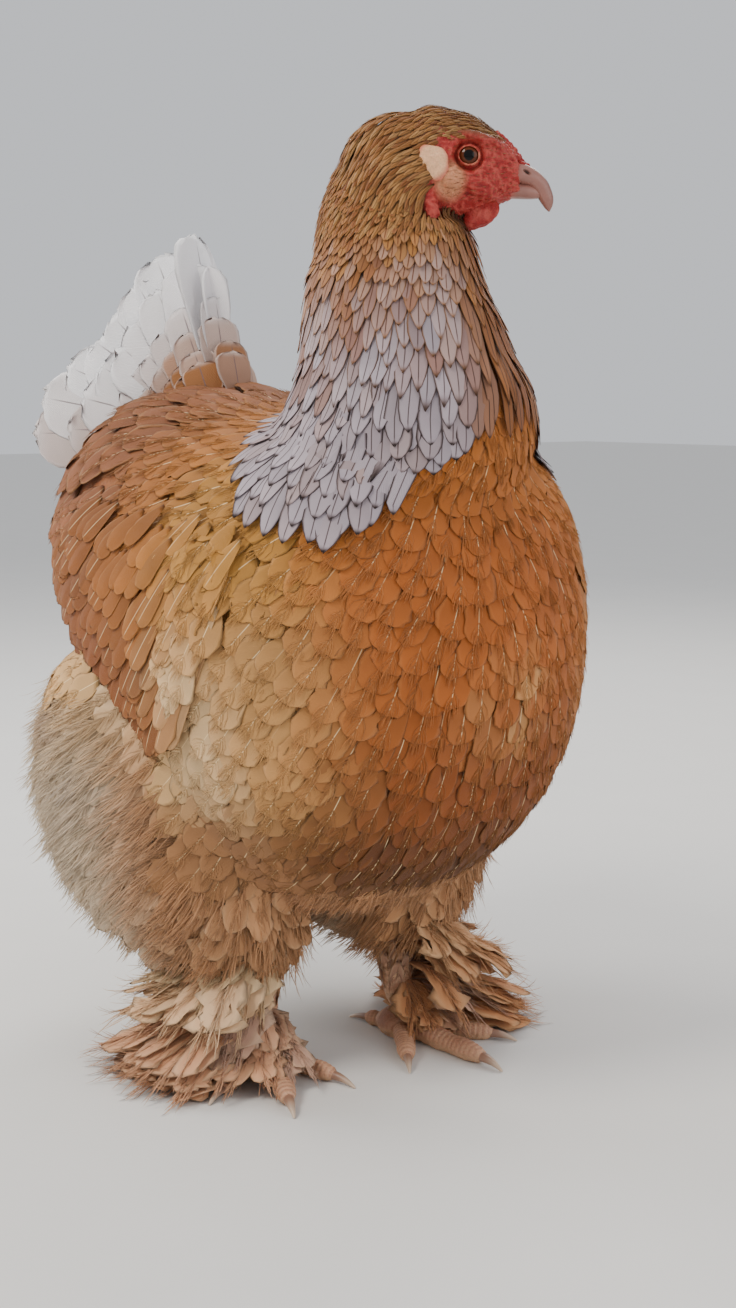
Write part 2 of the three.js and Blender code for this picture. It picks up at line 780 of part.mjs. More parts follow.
// A tail feather or covert: `share` is its length as a share of the full feather.
function tailVane(fan, share, layer, halfWidth) {
  const { direction, across, normal } = tailFrame(fan);
  return plate(
    (u, w, face) =>
      vector(TAIL.root)
        .addScaledVector(direction, mix(10 * share, tailReach(fan) * share, u))
        .addScaledVector(across, w * halfWidth * fanFeatherWidth(u)[0])
        .addScaledVector(normal, layer - 4 * u * u + featherLayer(w, face, VANE.thick, 0)),
    3,
    1,
  );
}
// A smooth sheet under the fan, `front` and `back` of its layers, from `start` out to a share of its length.
function tailSheet(start, share, front, back, spread) {
  return plate(
    (u, w, face) => {
      const fan = w * spread;
      const { direction, normal } = tailFrame(fan || 0.01);
      const layer = tailLayer(Math.abs(fan) / radians(TAIL.step));
      return vector(TAIL.root)
        .addScaledVector(direction, mix(start, tailReach(fan) * share, u))
        .addScaledVector(normal, layer + (face ? front : back));
    },
    2,
    9,
  );
}
function tailSolid() {
  const middle = (TAIL.count - 1) / 2;
  const feathers = Array.from({ length: TAIL.count }, (_, i) => {
    const place = i - middle;
    return tailVane(radians(place * TAIL.step), 1, tailLayer(place), TAIL.halfWidth);
  });
  const coverts = Array.from({ length: TAIL.count - 6 }, (_, i) => {
    const place = i - middle + 3;
    return tailVane(radians(place * TAIL.step * 1.9), 0.58, tailLayer(place) + 6, TAIL.halfWidth);
  });
  return join([tailSheet(-16, 0.26, 9, -6, radians(86)), ...feathers, ...coverts]);
}

// The foot and shank feathers: fans on the outer side, by the angle from straight ahead.
const FOOT_TIERS = {
  foot: { count: 6, from: 78, to: 148, start: 5, length: 88, root: 9, tip: 4.2, halfWidth: 14 },
  shank: { count: 6, from: 72, to: 146, start: 2, length: 94, root: 27, tip: 12, halfWidth: 14 },
  heel: { count: 3, from: 112, to: 164, start: 2, length: 84, root: 40, tip: 34, halfWidth: 15 },
  front: { count: 3, from: 50, to: 102, start: 2, length: 46, root: 46, tip: 27, halfWidth: 11 },
};
function footVanes(side, foot, { count, from, to, start, length, root, tip, halfWidth }) {
  return Array.from({ length: count }, (_, i) => {
    const heading = radians(side * mix(from, to, i / (count - 1)));
    const ahead = new THREE.Vector3(Math.cos(heading), Math.sin(heading), 0);
    const across = new THREE.Vector3(-ahead.y, ahead.x, 0).multiplyScalar(side);
    const reach = length * (1 - 0.18 * Math.abs((2 * i) / (count - 1) - 1));
    return plate(
      (u, w, face) =>
        new THREE.Vector3(foot.at[0] - 2, foot.at[1], 0)
          .addScaledVector(ahead, mix(start, reach, u))
          .addScaledVector(across, w * halfWidth * fanFeatherWidth(u)[0])
          .addScaledVector(ALONG_Z, mix(root, tip, u) + (i % 2) * 1.8 + featherLayer(w, face, VANE.thick, 0)),
      3,
      1,
    );
  });
}

// Materials
const FINISHES = {
  buff: { color: 0xc98a4b, roughness: 0.8 },
  cream: { color: 0xd9bd93, roughness: 0.85 },
  hackle: { color: 0xb5a9a6, roughness: 0.8 },
  white: { color: 0xe9e6ea, roughness: 0.75 },
  skin: { color: 0xc0433f, roughness: 0.55 },
  lobe: { color: 0xe6cfae, roughness: 0.6 },
  horn: { color: 0x8d7468, roughness: 0.4 },
  eye: { color: 0x5a3413, roughness: 0.1 },
  scale: { color: 0xd08a62, roughness: 0.6 },
};

const hen = new THREE.Group();
hen.name = "brahma_hen";
const headGroup = new THREE.Group();
headGroup.position.set(...HEAD.at);
headGroup.rotation.set(0, radians(HEAD.nod), radians(HEAD.turn), "ZYX");
headGroup.scale.setScalar(HEAD.size);
hen.add(headGroup);

function piece(parent, name, made, finish) {
  const material = new THREE.MeshStandardMaterial({ ...FINISHES[finish], metalness: 0 });
  const mesh = new THREE.Mesh(geometryOf(largest(made.simplify(SLIVER))), material);
  mesh.name = name;
  parent.add(mesh);
}

// Head pieces
const skullGrown = join([skull.solid(GAP), ...cheeks(), ...lappets()]);
const headMade = headSolid();
piece(headGroup, "head", headMade, "skin");
const beakTop = upperBeak.solid().subtract(skullGrown).subtract(headMade);
piece(headGroup, "beak_upper", beakTop.subtract(nostrils()), "horn");
const beakBottom = lowerBeak.solid().subtract(skullGrown).subtract(upperBeak.solid(GAP + 0.1));
piece(headGroup, "beak_lower", beakBottom, "horn");
piece(headGroup, "comb", combSolid().subtract(skullGrown).subtract(upperBeak.solid(GAP)), "skin");
const hanging = [];
for (const [name, side] of Object.entries(SIDES)) {
  const eye = ball([0, side * EYE.inset, 0], [EYE.radius, EYE.radius, EYE.radius], [0, 0, 0], [12, 7]);
  piece(headGroup, `eye_${name}`, eye, "eye");
  const lobe = ball([-18.5, side * 19.5, -7], [7.6, 3.4, 10], [0, 0, side * 6], [10, 6]);
  const wattle = ball([11, side * 6.2, -27], [10, 3, 7], [side * 6, -28, 0], [10, 6]);
  hanging.push(lobe, wattle);
  piece(headGroup, `earlobe_${name}`, lobe.subtract(skullGrown), "lobe");
  piece(headGroup, `wattle_${name}`, wattle.subtract(skullGrown).subtract(lowerBeak.solid(GAP)), "skin");
}

// Body pieces, each cut clear of what it grows from
const torsoGrown = torso.solid(GAP);
const tailRoom = tailSheet(-20, 1.05, 13, -12, radians(98));
piece(hen, "torso", torso.solid().subtract(tailRoom), "buff");
const fluffMade = fluff.solid().subtract(torsoGrown);
piece(hen, "fluff", fluffMade, "cream");
const headInPlace = (made) => made.transform(headFrame.elements);
const headRoom = headInPlace(join([skullGrown, ...hanging]));
const neckMade = join([neck.solid(-HACKLE.depth), ...hackle()]).subtract(join([torsoGrown, headRoom]));
piece(hen, "neck", neckMade, "hackle");
const capeRoom = join([neck.solid(4), capeSleeve(12, 4)]);
for (const [name, side] of Object.entries(SIDES)) {
  const foot = FEET[name];
  const wing = join([wingCore(side), ...wingVanes(side)]);
  piece(hen, `wing_${name}`, wing.subtract(join([torsoGrown, capeRoom, fluff.solid(GAP)])), "buff");
  const thigh = thighForm(side, foot);
  const thighRoom = join([torsoGrown, wingRoom(side, -5, 40), fluff.solid(GAP)]);
  piece(hen, `thigh_${name}`, thigh.solid().subtract(thighRoom), "cream");
  const shank = shankForm(foot);
  const plumes = ["shank", "heel", "front"].flatMap((tier) => footVanes(side, foot, FOOT_TIERS[tier]));
  const shankMade = join([shank.solid(), ...plumes]).subtract(thigh.solid(GAP));
  piece(hen, `shank_${name}`, shankMade, "scale");
  const floor = belowFloor();
  const palm = ball([foot.at[0], foot.at[1], 6], [15, 13, 10], [0, 0, 0], [8, 5]);
  const toes = [palm, ...TOES.map((toe) => toeForm(side, foot, toe).solid())];
  const footMade = join([...toes, ...footVanes(side, foot, FOOT_TIERS.foot)]);
  piece(hen, `foot_${name}`, footMade.subtract(join([floor, shank.solid(GAP)])), "scale");
  for (const toe of TOES) {
    const claw = clawForm(side, foot, toe).solid().subtract(toeForm(side, foot, toe).solid(GAP)).subtract(floor);
    piece(hen, `claw_${name}_${toe.name}`, claw, "horn");
  }
}
piece(hen, "tail", tailSolid().subtract(fluff.solid(GAP)), "white");

// Move the bird so that the origin is the middle of her bounding box, on the floor.
const box = new THREE.Box3().setFromObject(hen, true);
const middle = box.getCenter(new THREE.Vector3());
hen.position.set(-middle.x, -middle.y, -box.min.z);

export default hen;
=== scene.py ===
"""The standing brahma hen: skin, feathers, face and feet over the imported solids."""
import math

import bpy
import numpy as np
from mathutils import Matrix, Vector
from mathutils.bvhtree import BVHTree


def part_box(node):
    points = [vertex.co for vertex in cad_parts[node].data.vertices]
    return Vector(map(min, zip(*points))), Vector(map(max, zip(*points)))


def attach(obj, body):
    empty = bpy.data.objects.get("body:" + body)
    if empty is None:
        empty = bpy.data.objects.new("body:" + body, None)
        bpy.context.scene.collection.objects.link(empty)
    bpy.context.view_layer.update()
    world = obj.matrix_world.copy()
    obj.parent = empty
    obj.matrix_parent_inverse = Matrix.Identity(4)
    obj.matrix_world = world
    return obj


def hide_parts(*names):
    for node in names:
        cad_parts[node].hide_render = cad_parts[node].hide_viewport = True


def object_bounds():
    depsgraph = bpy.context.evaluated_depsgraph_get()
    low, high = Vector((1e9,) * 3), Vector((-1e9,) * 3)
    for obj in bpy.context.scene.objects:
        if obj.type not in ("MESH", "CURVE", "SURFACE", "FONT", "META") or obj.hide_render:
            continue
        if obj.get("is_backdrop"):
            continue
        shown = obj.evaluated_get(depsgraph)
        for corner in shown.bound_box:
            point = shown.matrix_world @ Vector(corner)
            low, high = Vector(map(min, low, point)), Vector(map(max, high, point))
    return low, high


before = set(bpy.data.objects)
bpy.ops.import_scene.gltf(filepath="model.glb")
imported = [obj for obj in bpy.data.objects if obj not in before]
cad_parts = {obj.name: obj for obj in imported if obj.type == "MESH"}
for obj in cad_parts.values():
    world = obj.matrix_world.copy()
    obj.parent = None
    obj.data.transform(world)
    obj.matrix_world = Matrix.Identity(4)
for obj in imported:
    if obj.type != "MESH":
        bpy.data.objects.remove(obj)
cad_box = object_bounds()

# Driving dimensions, in millimetres of the hen's own frame, whose zero is midway between her sides

REAR, FRONT, BACK, HALF = -168, 142, 356, 116
WING_FRONT, WING_REAR, WING_OUT = 74, -130, 80
NECK_TOP, SHOULDER, SHOULDER_T = 490, 351, 0.28
NECK_LENGTH = NECK_TOP - SHOULDER
NECK_AXIS = 66  # the place along the body of the line that the cape hangs round
HEAD_AT, HEAD_SIZE = np.array([88.0, 23, 475]), 0.95
HEAD_YAW, HEAD_NOD = math.radians(54), math.radians(7)
EYE_BALL, EYE_INSET = 6.5, 11.6
LID_OUT, LID_RADII, LID_TUBE, LID_SWELL = 17.0, (5.5, 4.8), 0.5, 0.7
FEET = {"right": (np.array([4.0, -44, 0]), -24), "left": (np.array([14.0, 42, 0]), 4)}
TOE_RADIUS, CLAW = 5.6, 13
TAIL_ROOT, TAIL_RISE = np.array([-100.0, 0, 338]), math.radians(80)
FOOT_REACH = 76  # how far the foot feathers may go to the side
SOLE_GAP, FEATHER_GAP = 0.05, 0.4  # left between the floor and the lowest places

low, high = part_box("torso")
OFFSET = np.array([high.x * 1000 - FRONT, (low.y + high.y) * 500, 0.0])
SIDES = {"left": 1, "right": -1}
X, Y, Z = np.eye(3)


def unit(v):
    return v / np.maximum(np.linalg.norm(v, axis=-1, keepdims=True), 1e-9)


def dot(a, b):
    return (a * b).sum(-1, keepdims=True)


def mix(a, b, t):
    return a + (b - a) * t


def ramp(x, start, end):
    t = np.clip((np.asarray(x, float) - start) / (end - start), 0, 1)
    return t * t * (3 - 2 * t)


def through(rows):
    """A smooth function of t through rows of [t, value, value, ...]."""
    rows = np.array(rows, float)
    at, values = rows[:, 0], rows[:, 1:]
    slope = np.gradient(values, at, axis=0)

    def value(t):
        t = np.clip(np.atleast_1d(np.asarray(t, float)), at[0], at[-1])
        k = np.clip(np.searchsorted(at, t, side="right") - 1, 0, len(at) - 2)
        h = (at[k + 1] - at[k])[:, None]
        s = (t - at[k])[:, None] / h
        start = (1 + 2 * s) * (1 - s) ** 2 * values[k] + s * (1 - s) ** 2 * h * slope[k]
        return start + s * s * (3 - 2 * s) * values[k + 1] + s * s * (s - 1) * h * slope[k + 1]

    return value


HASH = np.array([73856093, 19349663, 83492791])


def noise(points, scale, seed=0):
    """Smooth noise from -1 to 1 at points, with features of about `scale`."""
    p = np.asarray(points, float) / scale + 37.7 * (seed + 1)
    cell = np.floor(p).astype(np.int64)
    part = p - cell
    part = part * part * (3 - 2 * part)
    total = np.zeros(p.shape[:-1])
    for corner in range(8):
        step = np.array([corner & 1, corner >> 1 & 1, corner >> 2 & 1])
        mixed = np.bitwise_xor.reduce((cell + step) * HASH, axis=-1) ^ (seed * 2654435)
        mixed = (mixed ^ (mixed >> 13)) * 1274126177
        value = ((mixed ^ (mixed >> 16)) & 0xFFFF) / 32767.5 - 1
        total += value * np.prod(np.where(step, part, 1 - part), axis=-1)
    return total


def table(names, *rows):
    """Rows of numbers as dictionaries with the given names."""
    return [dict(zip(names.split(), row)) for row in rows]


# Faces


def quads_of(grid, flipped=False):
    """Quads between neighbours in a grid of point numbers."""
    corners = [grid[:-1, :-1], grid[:-1, 1:], grid[1:, 1:], grid[1:, :-1]]
    if flipped:
        corners = [corners[k] for k in (0, 3, 2, 1)]
    return np.stack(corners, -1).reshape(-1, 4)


def turned(faces):
    """The faces seen from behind, each from the same first corner."""
    return [np.roll(face[:, ::-1], 1, axis=1) for face in faces]


def closed_rings(points, around, ends):
    """All points and faces of a closed surface through rings of points, with one more point at each end."""
    rings = np.arange(len(points)).reshape(-1, around)
    rings = np.hstack([rings, rings[:, :1]])
    first, last, count = rings[0], rings[-1], len(points)
    fans = [
        np.stack([np.full(around, count), first[:-1], first[1:]], -1),
        np.stack([np.full(around, count + 1), last[1:], last[:-1]], -1),
    ]
    return np.vstack([points, ends]), [quads_of(rings, flipped=True)] + fans


def repeated(faces, copies, per):
    """The faces for each of many copies of `per` points."""
    return (faces[None] + (np.arange(copies) * per)[:, None, None]).reshape(-1, faces.shape[1])


# Forms


class Form:
    """A round form swept along centres: rows of [t, x, y, z, half width, height above, depth below]."""

    def __init__(self, rows, left=None, above=None, caps=(0.12, 0.12), square=0.9):
        self.row = through(rows)
        self.left = Y if left is None else left
        self.above, self.caps, self.square = above, caps, square

    def frame(self, t):
        side = self.left(t) if callable(self.left) else np.tile(self.left, (len(t), 1))
        if self.above is not None:
            return side, np.tile(self.above, (len(t), 1))
        ends = self.row(np.minimum(t + 1e-3, 1))[:, :3] - self.row(np.maximum(t - 1e-3, 0))[:, :3]
        tangent = unit(ends)
        side = unit(side - tangent * dot(side, tangent))
        return side, np.cross(tangent, side)

    def rounding(self, t):
        start, end = self.caps
        near = np.where(t < start, 1 - t / start, np.where(t > 1 - end, 1 - (1 - t) / end, 0))
        return np.sqrt(np.maximum(1 - near * near, 0))

    def point(self, t, angle):
        t, angle = np.broadcast_arrays(np.atleast_1d(np.asarray(t, float)), angle)
        row = self.row(t)
        side, up = self.frame(t)
        around = self.rounding(t)
        c, s = np.cos(angle), np.sin(angle)
        wide = row[:, 3] * around * np.sign(c) * np.abs(c) ** self.square
        tall = np.where(s > 0, row[:, 4], row[:, 5]) * around * np.sign(s) * np.abs(s) ** self.square
        return row[:, :3] + side * wide[:, None] + up * tall[:, None]

    def mesh(self, around, along):
        """Points and faces of the closed form. The first and last ring close to a point."""
        start, end = self.caps
        cap = max(along // 6, 3)
        bend = 1 - np.cos(np.linspace(0.02, 1, cap, endpoint=False) * math.pi / 2)
        t = np.concatenate([start * bend, np.linspace(start, 1 - end, along), (1 - end * bend)[::-1]])
        angle = np.linspace(0, 2 * math.pi, around, endpoint=False)
        points = self.point(np.repeat(t, around), np.tile(angle, len(t)))
        return closed_rings(points, around, [points[:around].mean(0), points[-around:].mean(0)])


def ellipsoid(at, sizes, turn=np.eye(3), around=36, along=20):
    """Points and faces of a stretched ball."""
    polar = np.linspace(0, math.pi, along + 2)[1:-1]
    angle = np.linspace(0, 2 * math.pi, around, endpoint=False)
    p, a = (grid.ravel() for grid in np.meshgrid(polar, angle, indexing="ij"))
    ball = np.stack([np.cos(p), np.sin(p) * np.cos(a), np.sin(p) * np.sin(a)], -1)
    ball, faces = closed_rings(ball, around, [X, -X])
    return np.asarray(at) + (ball * np.asarray(sizes, float)) @ np.asarray(turn).T, turned(faces)


def euler(x, y, z):
    """The turn about X, then Y, then Z, in degrees."""
    turns = [Matrix.Rotation(math.radians(angle), 3, axis) for angle, axis in zip((x, y, z), "XYZ")]
    return np.array(turns[2] @ turns[1] @ turns[0])


def turn_about(axis, angle):
    """The turn by an angle in radians about Y or Z."""
    c, s = math.cos(angle), math.sin(angle)
    return np.array([[c, 0, s], [0, 1, 0], [-s, 0, c]] if axis == "Y" else [[c, -s, 0], [s, c, 0], [0, 0, 1]])


HEAD_TURN = turn_about("Z", HEAD_YAW) @ turn_about("Y", HEAD_NOD)


def from_head(points):
    return HEAD_AT + HEAD_SIZE * np.asarray(points, float) @ HEAD_TURN.T


def to_head(points):
    return (np.asarray(points, float) - HEAD_AT) @ HEAD_TURN / HEAD_SIZE


TORSO_ROWS = [
    [0, 0.8, 0.56, 0.14, 0.17],
    [0.05, 0.79, 0.67, 0.18, 0.22],
    [0.12, 0.78, 0.79, 0.225, 0.27],
    [0.2, 0.77, 0.87, 0.25, 0.3],
    [0.31, 0.755, 0.95, 0.262, 0.37],
    [0.47, 0.73, 1, 0.262, 0.45],
    [0.63, 0.7, 1.01, 0.285, 0.45],
    [0.78, 0.68, 0.96, 0.305, 0.39],
    [0.89, 0.67, 0.82, 0.285, 0.3],
    [0.96, 0.67, 0.68, 0.235, 0.235],
    [1, 0.67, 0.6, 0.2, 0.2],
]
torso = Form(
    [
        [t, REAR + t * (FRONT - REAR), 0, h * BACK, w * HALF, a * BACK, b * BACK]
        for t, h, w, a, b in TORSO_ROWS
    ],
    above=Z,
    caps=(0.13, 0.15),
    square=0.86,
)


def neck_left(t):
    a = np.radians(mix(14, 54, np.maximum(t, 0) ** 1.3))
    return np.stack([-np.sin(a), np.cos(a), np.zeros_like(a)], -1)


neck = Form(
    [
        [0, 60, 0, 300, 66, 56, 52],
        [SHOULDER_T, 72, 0, SHOULDER, 62, 62, 62],
        [0.41, 70, 0, 376, 54, 55, 53],
        [0.55, 65, 0, 402, 48, 49, 46],
        [0.67, 62, 1, 423, 44, 45, 41],
        [0.8, 59, 1, 448, 37, 37, 35],
        [0.92, 66, 4, 470, 31, 30, 27],
        [1, 76, 10, NECK_TOP, 23, 19, 20],
    ],
    left=neck_left,
    caps=(0.05, 0.08),
    square=0.95,
)
fluff = Form(
    [
        [0, -172, 0, 176, 56, 40, 50],
        [0.15, -158, 0, 170, 84, 56, 70],
        [0.4, -110, 0, 164, 96, 70, 86],
        [0.7, -60, 0, 160, 84, 70, 76],
        [1, -10, 0, 160, 60, 60, 50],
    ],
    above=Z,
    caps=(0.25, 0.1),
    square=0.9,
)


def thigh(name):
    foot, side = FEET[name][0], SIDES[name]
    rows = [
        [0, -50, side * 60, 236, 46, 66, 62],
        [0.2, -58, side * 66, 200, 58, 82, 80],
        [0.4, -60, side * 68, 160, 63, 92, 90],
        [0.58, -58, side * 68, 124, 61, 92, 88],
        [0.74, -50, side * 65, 94, 56, 84, 76],
        [0.88, -34, side * 58, 68, 45, 64, 54],
        [1, foot[0] - 12, side * 50, 42, 30, 40, 34],
    ]
    return Form(rows, above=X, caps=(0.14, 0.14), square=0.95)


def shank(foot, grow):
    x, y = foot[0], foot[1]
    rows = [
        [0, x - 8, y, 96, 14 * grow, 14 * grow, 15 * grow],
        [0.5, x - 5, y, 52, 12 * grow, 12 * grow, 13 * grow],
        [1, x - 1, y, 13, 10 * grow, 10 * grow, 11 * grow],
    ]
    return Form(rows, caps=(0.08, 0.2), square=0.95)


def body_share(x):
    """How far x is along the body, from 0 at the rear."""
    return (x - REAR) / (FRONT - REAR)


def side_angle(side, z, t):
    row = torso.row(t)
    reach = np.where(z > row[:, 2], row[:, 4], row[:, 5]) * torso.rounding(t)
    rise = (z - row[:, 2]) / reach
    lift = np.arcsin(np.sign(rise) * np.minimum(np.abs(rise), 1) ** (1 / torso.square))
    return lift if side > 0 else math.pi - lift


def torso_normal(t, angle):
    t = np.clip(t, 0.01, 0.99)
    along = torso.point(t + 2e-3, angle) - torso.point(t - 2e-3, angle)
    around = torso.point(t, angle + 2e-3) - torso.point(t, angle - 2e-3)
    return unit(np.cross(around, along))


def on_side(side, x, z, out):
    """The place on the body's side at x and z, moved out from it, and the normal there."""
    x, z, out = np.broadcast_arrays(np.atleast_1d(x).astype(float), z, out)
    t = body_share(x)
    angle = side_angle(side, z, t)
    normal = torso_normal(t, angle)
    return torso.point(t, angle) + normal * out[:, None], normal


wing_edges = through(
    [
        [0, 244, 288],
        [0.15, 204, 300],
        [0.33, 182, 304],
        [0.52, 190, 305],
        [0.7, 212, 303],
        [0.86, 238, 297],
        [1, 264, 284],
    ]
)


def wing_shield(side, thick, sunk=6.0, rows=40, columns=24):
    """Points and faces of the folded wing as a closed shield on the body's side."""
    u, w = np.meshgrid(np.linspace(0, 1, rows), np.linspace(-1, 1, columns), indexing="ij")
    u, w = u.ravel(), w.ravel()
    edges = wing_edges(u)
    z = mix(edges[:, 0], edges[:, 1], (w + 1) / 2)
    x = mix(WING_FRONT, WING_REAR, u)
    edge = 1 - np.maximum(np.abs(w) ** 3, np.abs(2 * u - 1) ** 5)
    outer, _ = on_side(side, x, z, thick * np.maximum(edge, 0) ** 0.5)
    inner, _ = on_side(side, x, z, -sunk)
    grid = np.arange(rows * columns).reshape(rows, columns)
    quads, count = quads_of(grid), grid.size
    rim = np.concatenate([grid[0], grid[1:, -1], grid[-1, -2::-1], grid[-2:0:-1, 0]])
    after = np.roll(rim, -1)
    walls = np.stack([rim, rim + count, after + count, after], -1)
    return np.vstack([outer, inner]), [quads, quads[:, ::-1] + count, walls]


# Meshes


def build_mesh(name, points, faces):
    """A mesh from points in millimetres and a list of face arrays."""
    mesh = bpy.data.meshes.new(name)
    scene_points = ((np.asarray(points) + OFFSET) / 1000).astype(np.float32)
    mesh.vertices.add(len(scene_points))
    mesh.vertices.foreach_set("co", scene_points.ravel())
    corners = np.concatenate([f.ravel() for f in faces]).astype(np.int32)
    counts = np.concatenate([np.full(len(f), f.shape[1]) for f in faces]).astype(np.int32)
    starts = np.concatenate([[0], np.cumsum(counts)[:-1]]).astype(np.int32)
    mesh.loops.add(len(corners))
    mesh.loops.foreach_set("vertex_index", corners)
    mesh.polygons.add(len(counts))
    mesh.polygons.foreach_set("loop_start", starts)
    mesh.polygons.foreach_set("loop_total", counts)
    mesh.update(calc_edges=True)
    mesh.validate()
    mesh.polygons.foreach_set("use_smooth", np.ones(len(mesh.polygons), bool))
    return mesh


def add_piece(name, mesh, finish, nodes):
    """A piece in a finish, which is a material and a slot name; the slot name is not used."""
    material, slot = finish
    thing = bpy.data.objects.new(name, mesh)
    bpy.context.scene.collection.objects.link(thing)
    mesh.materials.clear()
    mesh.materials.append(material)
    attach(thing, "root")
    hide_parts(*nodes)


def add_painted(name, mesh, tint, finish, nodes):
    paint(mesh, "Coat", with_strength(tint, 1))
    add_piece(name, mesh, finish, nodes)


def paint(mesh, name, rgba):
    layer = mesh.color_attributes.new(name, "FLOAT_COLOR", "POINT")
    layer.data.foreach_set("color", np.asarray(rgba, np.float32).ravel())


def lay_uv(mesh, name, uv):
    layer = mesh.uv_layers.new(name=name)
    corner = np.empty(len(mesh.loops), np.int32)
    mesh.loops.foreach_get("vertex_index", corner)
    layer.data.foreach_set("uv", np.asarray(uv, np.float32)[corner].ravel())


def vectors_of(items, field):
    values = np.empty(len(items) * 3, np.float32)
    items.foreach_get(field, values)
    return values.reshape(-1, 3).astype(float)


def points_of(mesh):
    return vectors_of(mesh.vertices, "co") * 1000 - OFFSET


def normals_of(mesh):
    return vectors_of(mesh.vertex_normals, "vector")


def set_points(mesh, points):
    mesh.vertices.foreach_set("co", ((points + OFFSET) / 1000).astype(np.float32).ravel())
    mesh.update()


def roughened(mesh, height):
    """The mesh's points, after each has moved out by height(points)."""
    p = points_of(mesh)
    p = p + normals_of(mesh) * height(p)[:, None]
    set_points(mesh, p)
    return p


def fused(name, parts, voxel, smoothing):
    """One closed mesh from several closed parts, by remeshing at `voxel` millimetres and smoothing."""
    points, faces, count = [], [], 0
    for part_points, part_faces in parts:
        points.append(part_points)
        faces += [f + count for f in part_faces]
        count += len(part_points)
    thing = bpy.data.objects.new(name, build_mesh(name, np.vstack(points), faces))
    bpy.context.scene.collection.objects.link(thing)
    remesh = thing.modifiers.new("fuse", "REMESH")
    remesh.mode = "VOXEL"
    remesh.voxel_size = voxel / 1000
    smooth = thing.modifiers.new("smooth", "SMOOTH")
    smooth.iterations = smoothing
    smooth.factor = 0.5
    made = bpy.data.meshes.new_from_object(thing.evaluated_get(bpy.context.evaluated_depsgraph_get()))
    bpy.data.objects.remove(thing)
    made.name = name
    made.polygons.foreach_set("use_smooth", np.ones(len(made.polygons), bool))
    return made


def spread_out(points, gaps):
    """Which of the points to keep, in their order, so that each lies its own gap away from the others."""
    cell = gaps.max()
    cells = {}
    kept = []
    for k, (point, gap) in enumerate(zip(points.tolist(), gaps.tolist())):
        home = tuple(int(value // cell) for value in point)
        near = [
            other
            for dx in (-1, 0, 1)
            for dy in (-1, 0, 1)
            for dz in (-1, 0, 1)
            for other in cells.get((home[0] + dx, home[1] + dy, home[2] + dz), ())
        ]
        if all(math.dist(point, other) >= gap for other in near):
            cells.setdefault(home, []).append(point)
            kept.append(k)
    return kept


class Surface:
    """A mesh to lay feathers on, in millimetres."""

    def __init__(self, mesh):
        mesh.calc_loop_triangles()
        corners = np.empty(len(mesh.loop_triangles) * 3, np.int32)
        mesh.loop_triangles.foreach_get("vertices", corners)
        self.faces = corners.reshape(-1, 3)
        self.points = points_of(mesh)
        self.tree = BVHTree.FromPolygons(self.points.tolist(), self.faces.tolist())
        self.face_normals = unit(normals_of(mesh)[self.faces].sum(1))

    def snap(self, points):
        """Nearest places on the surface and the normals there."""
        places = np.empty_like(points)
        normals = np.empty_like(points)
        for k, point in enumerate(points):
            place, _, index, _ = self.tree.find_nearest(point)
            places[k] = place
            normals[k] = self.face_normals[index]
        return places, normals

    def scatter(self, spacing, keep, seed, tries=9):
        """Places spread evenly where keep(points, normals) is true, a gap or spacing(points) apart."""
        rng = np.random.default_rng(seed)
        gaps = spacing if callable(spacing) else lambda points: np.full(len(points), spacing)
        a, b, c = (self.points[self.faces[:, k]] for k in range(3))
        centres = (a + b + c) / 3
        area = np.linalg.norm(np.cross(b - a, c - a), axis=1) / 2
        wanted = area / gaps(centres) ** 2 * keep(centres, self.face_normals)
        count = int(wanted.sum() * tries)
        chosen = rng.choice(len(wanted), count, p=wanted / wanted.sum())
        r, s = np.sqrt(rng.random(count))[:, None], rng.random(count)[:, None]
        points = (1 - r) * a[chosen] + r * (1 - s) * b[chosen] + r * s * c[chosen]
        return points[spread_out(points, gaps(points))]

    def trace(self, tips, lengths, flow, stations):
        """Lines along the surface that end at the tips and run back up the flow to the roots."""
        count = len(stations)
        line = np.empty((len(tips), count, 3))
        normals = np.empty_like(line)
        place, normal = self.snap(tips)
        line[:, -1], normals[:, -1] = place, normal
        for k in range(count - 2, -1, -1):
            way = flow(place, normal)
            way = unit(way - normal * dot(way, normal))
            place, normal = self.snap(place - way * (lengths * (stations[k + 1] - stations[k]))[:, None])
            line[:, k], normals[:, k] = place, normal
        smooth = normals.copy()
        smooth[:, 1:-1] = unit(normals[:, :-2] + 2 * normals[:, 1:-1] + normals[:, 2:])
        return line, smooth


# Feathers

SHAPES = {
    "round": through([[0, 0.3], [0.2, 0.7], [0.5, 1], [0.72, 1], [0.86, 0.84], [0.94, 0.6], [1, 0.2]]),
    "hackle": through([[0, 0.3], [0.25, 0.7], [0.5, 0.96], [0.68, 1], [0.82, 0.78], [0.93, 0.4], [1, 0.05]]),
    "long": through([[0, 0.25], [0.2, 0.6], [0.5, 0.95], [0.75, 1], [0.9, 0.78], [0.96, 0.5], [1, 0.16]]),
    "fan": through([[0, 0.12], [0.25, 0.42], [0.5, 0.75], [0.75, 1], [0.9, 0.9], [0.96, 0.68], [1, 0.26]]),
}
COLOURS, MAPS = ("Coat", "Edge", "Shaft"), ("OFBake", "Feather", "Barbs")
BAKE_SPOT = 0.0015  # half the size of a feather's own spot on the bake map
STRAND = (0.0, 0.45, 0.8, 1.0)  # where a barb has its rings of three points, and its tip
PER_BARB = 10


def barb_faces():
    """Triangles of a barb: its root, two bands between the rings, and its tip."""
    faces = []
    for ring in range(2):
        for k in range(3):
            a, b = ring * 3 + k, ring * 3 + (k + 1) % 3
            faces += [[a, b, b + 3], [a, b + 3, a + 3]]
    faces += [[6 + k, 6 + (k + 1) % 3, 9] for k in range(3)] + [[0, 2, 1]]
    return np.array(faces)


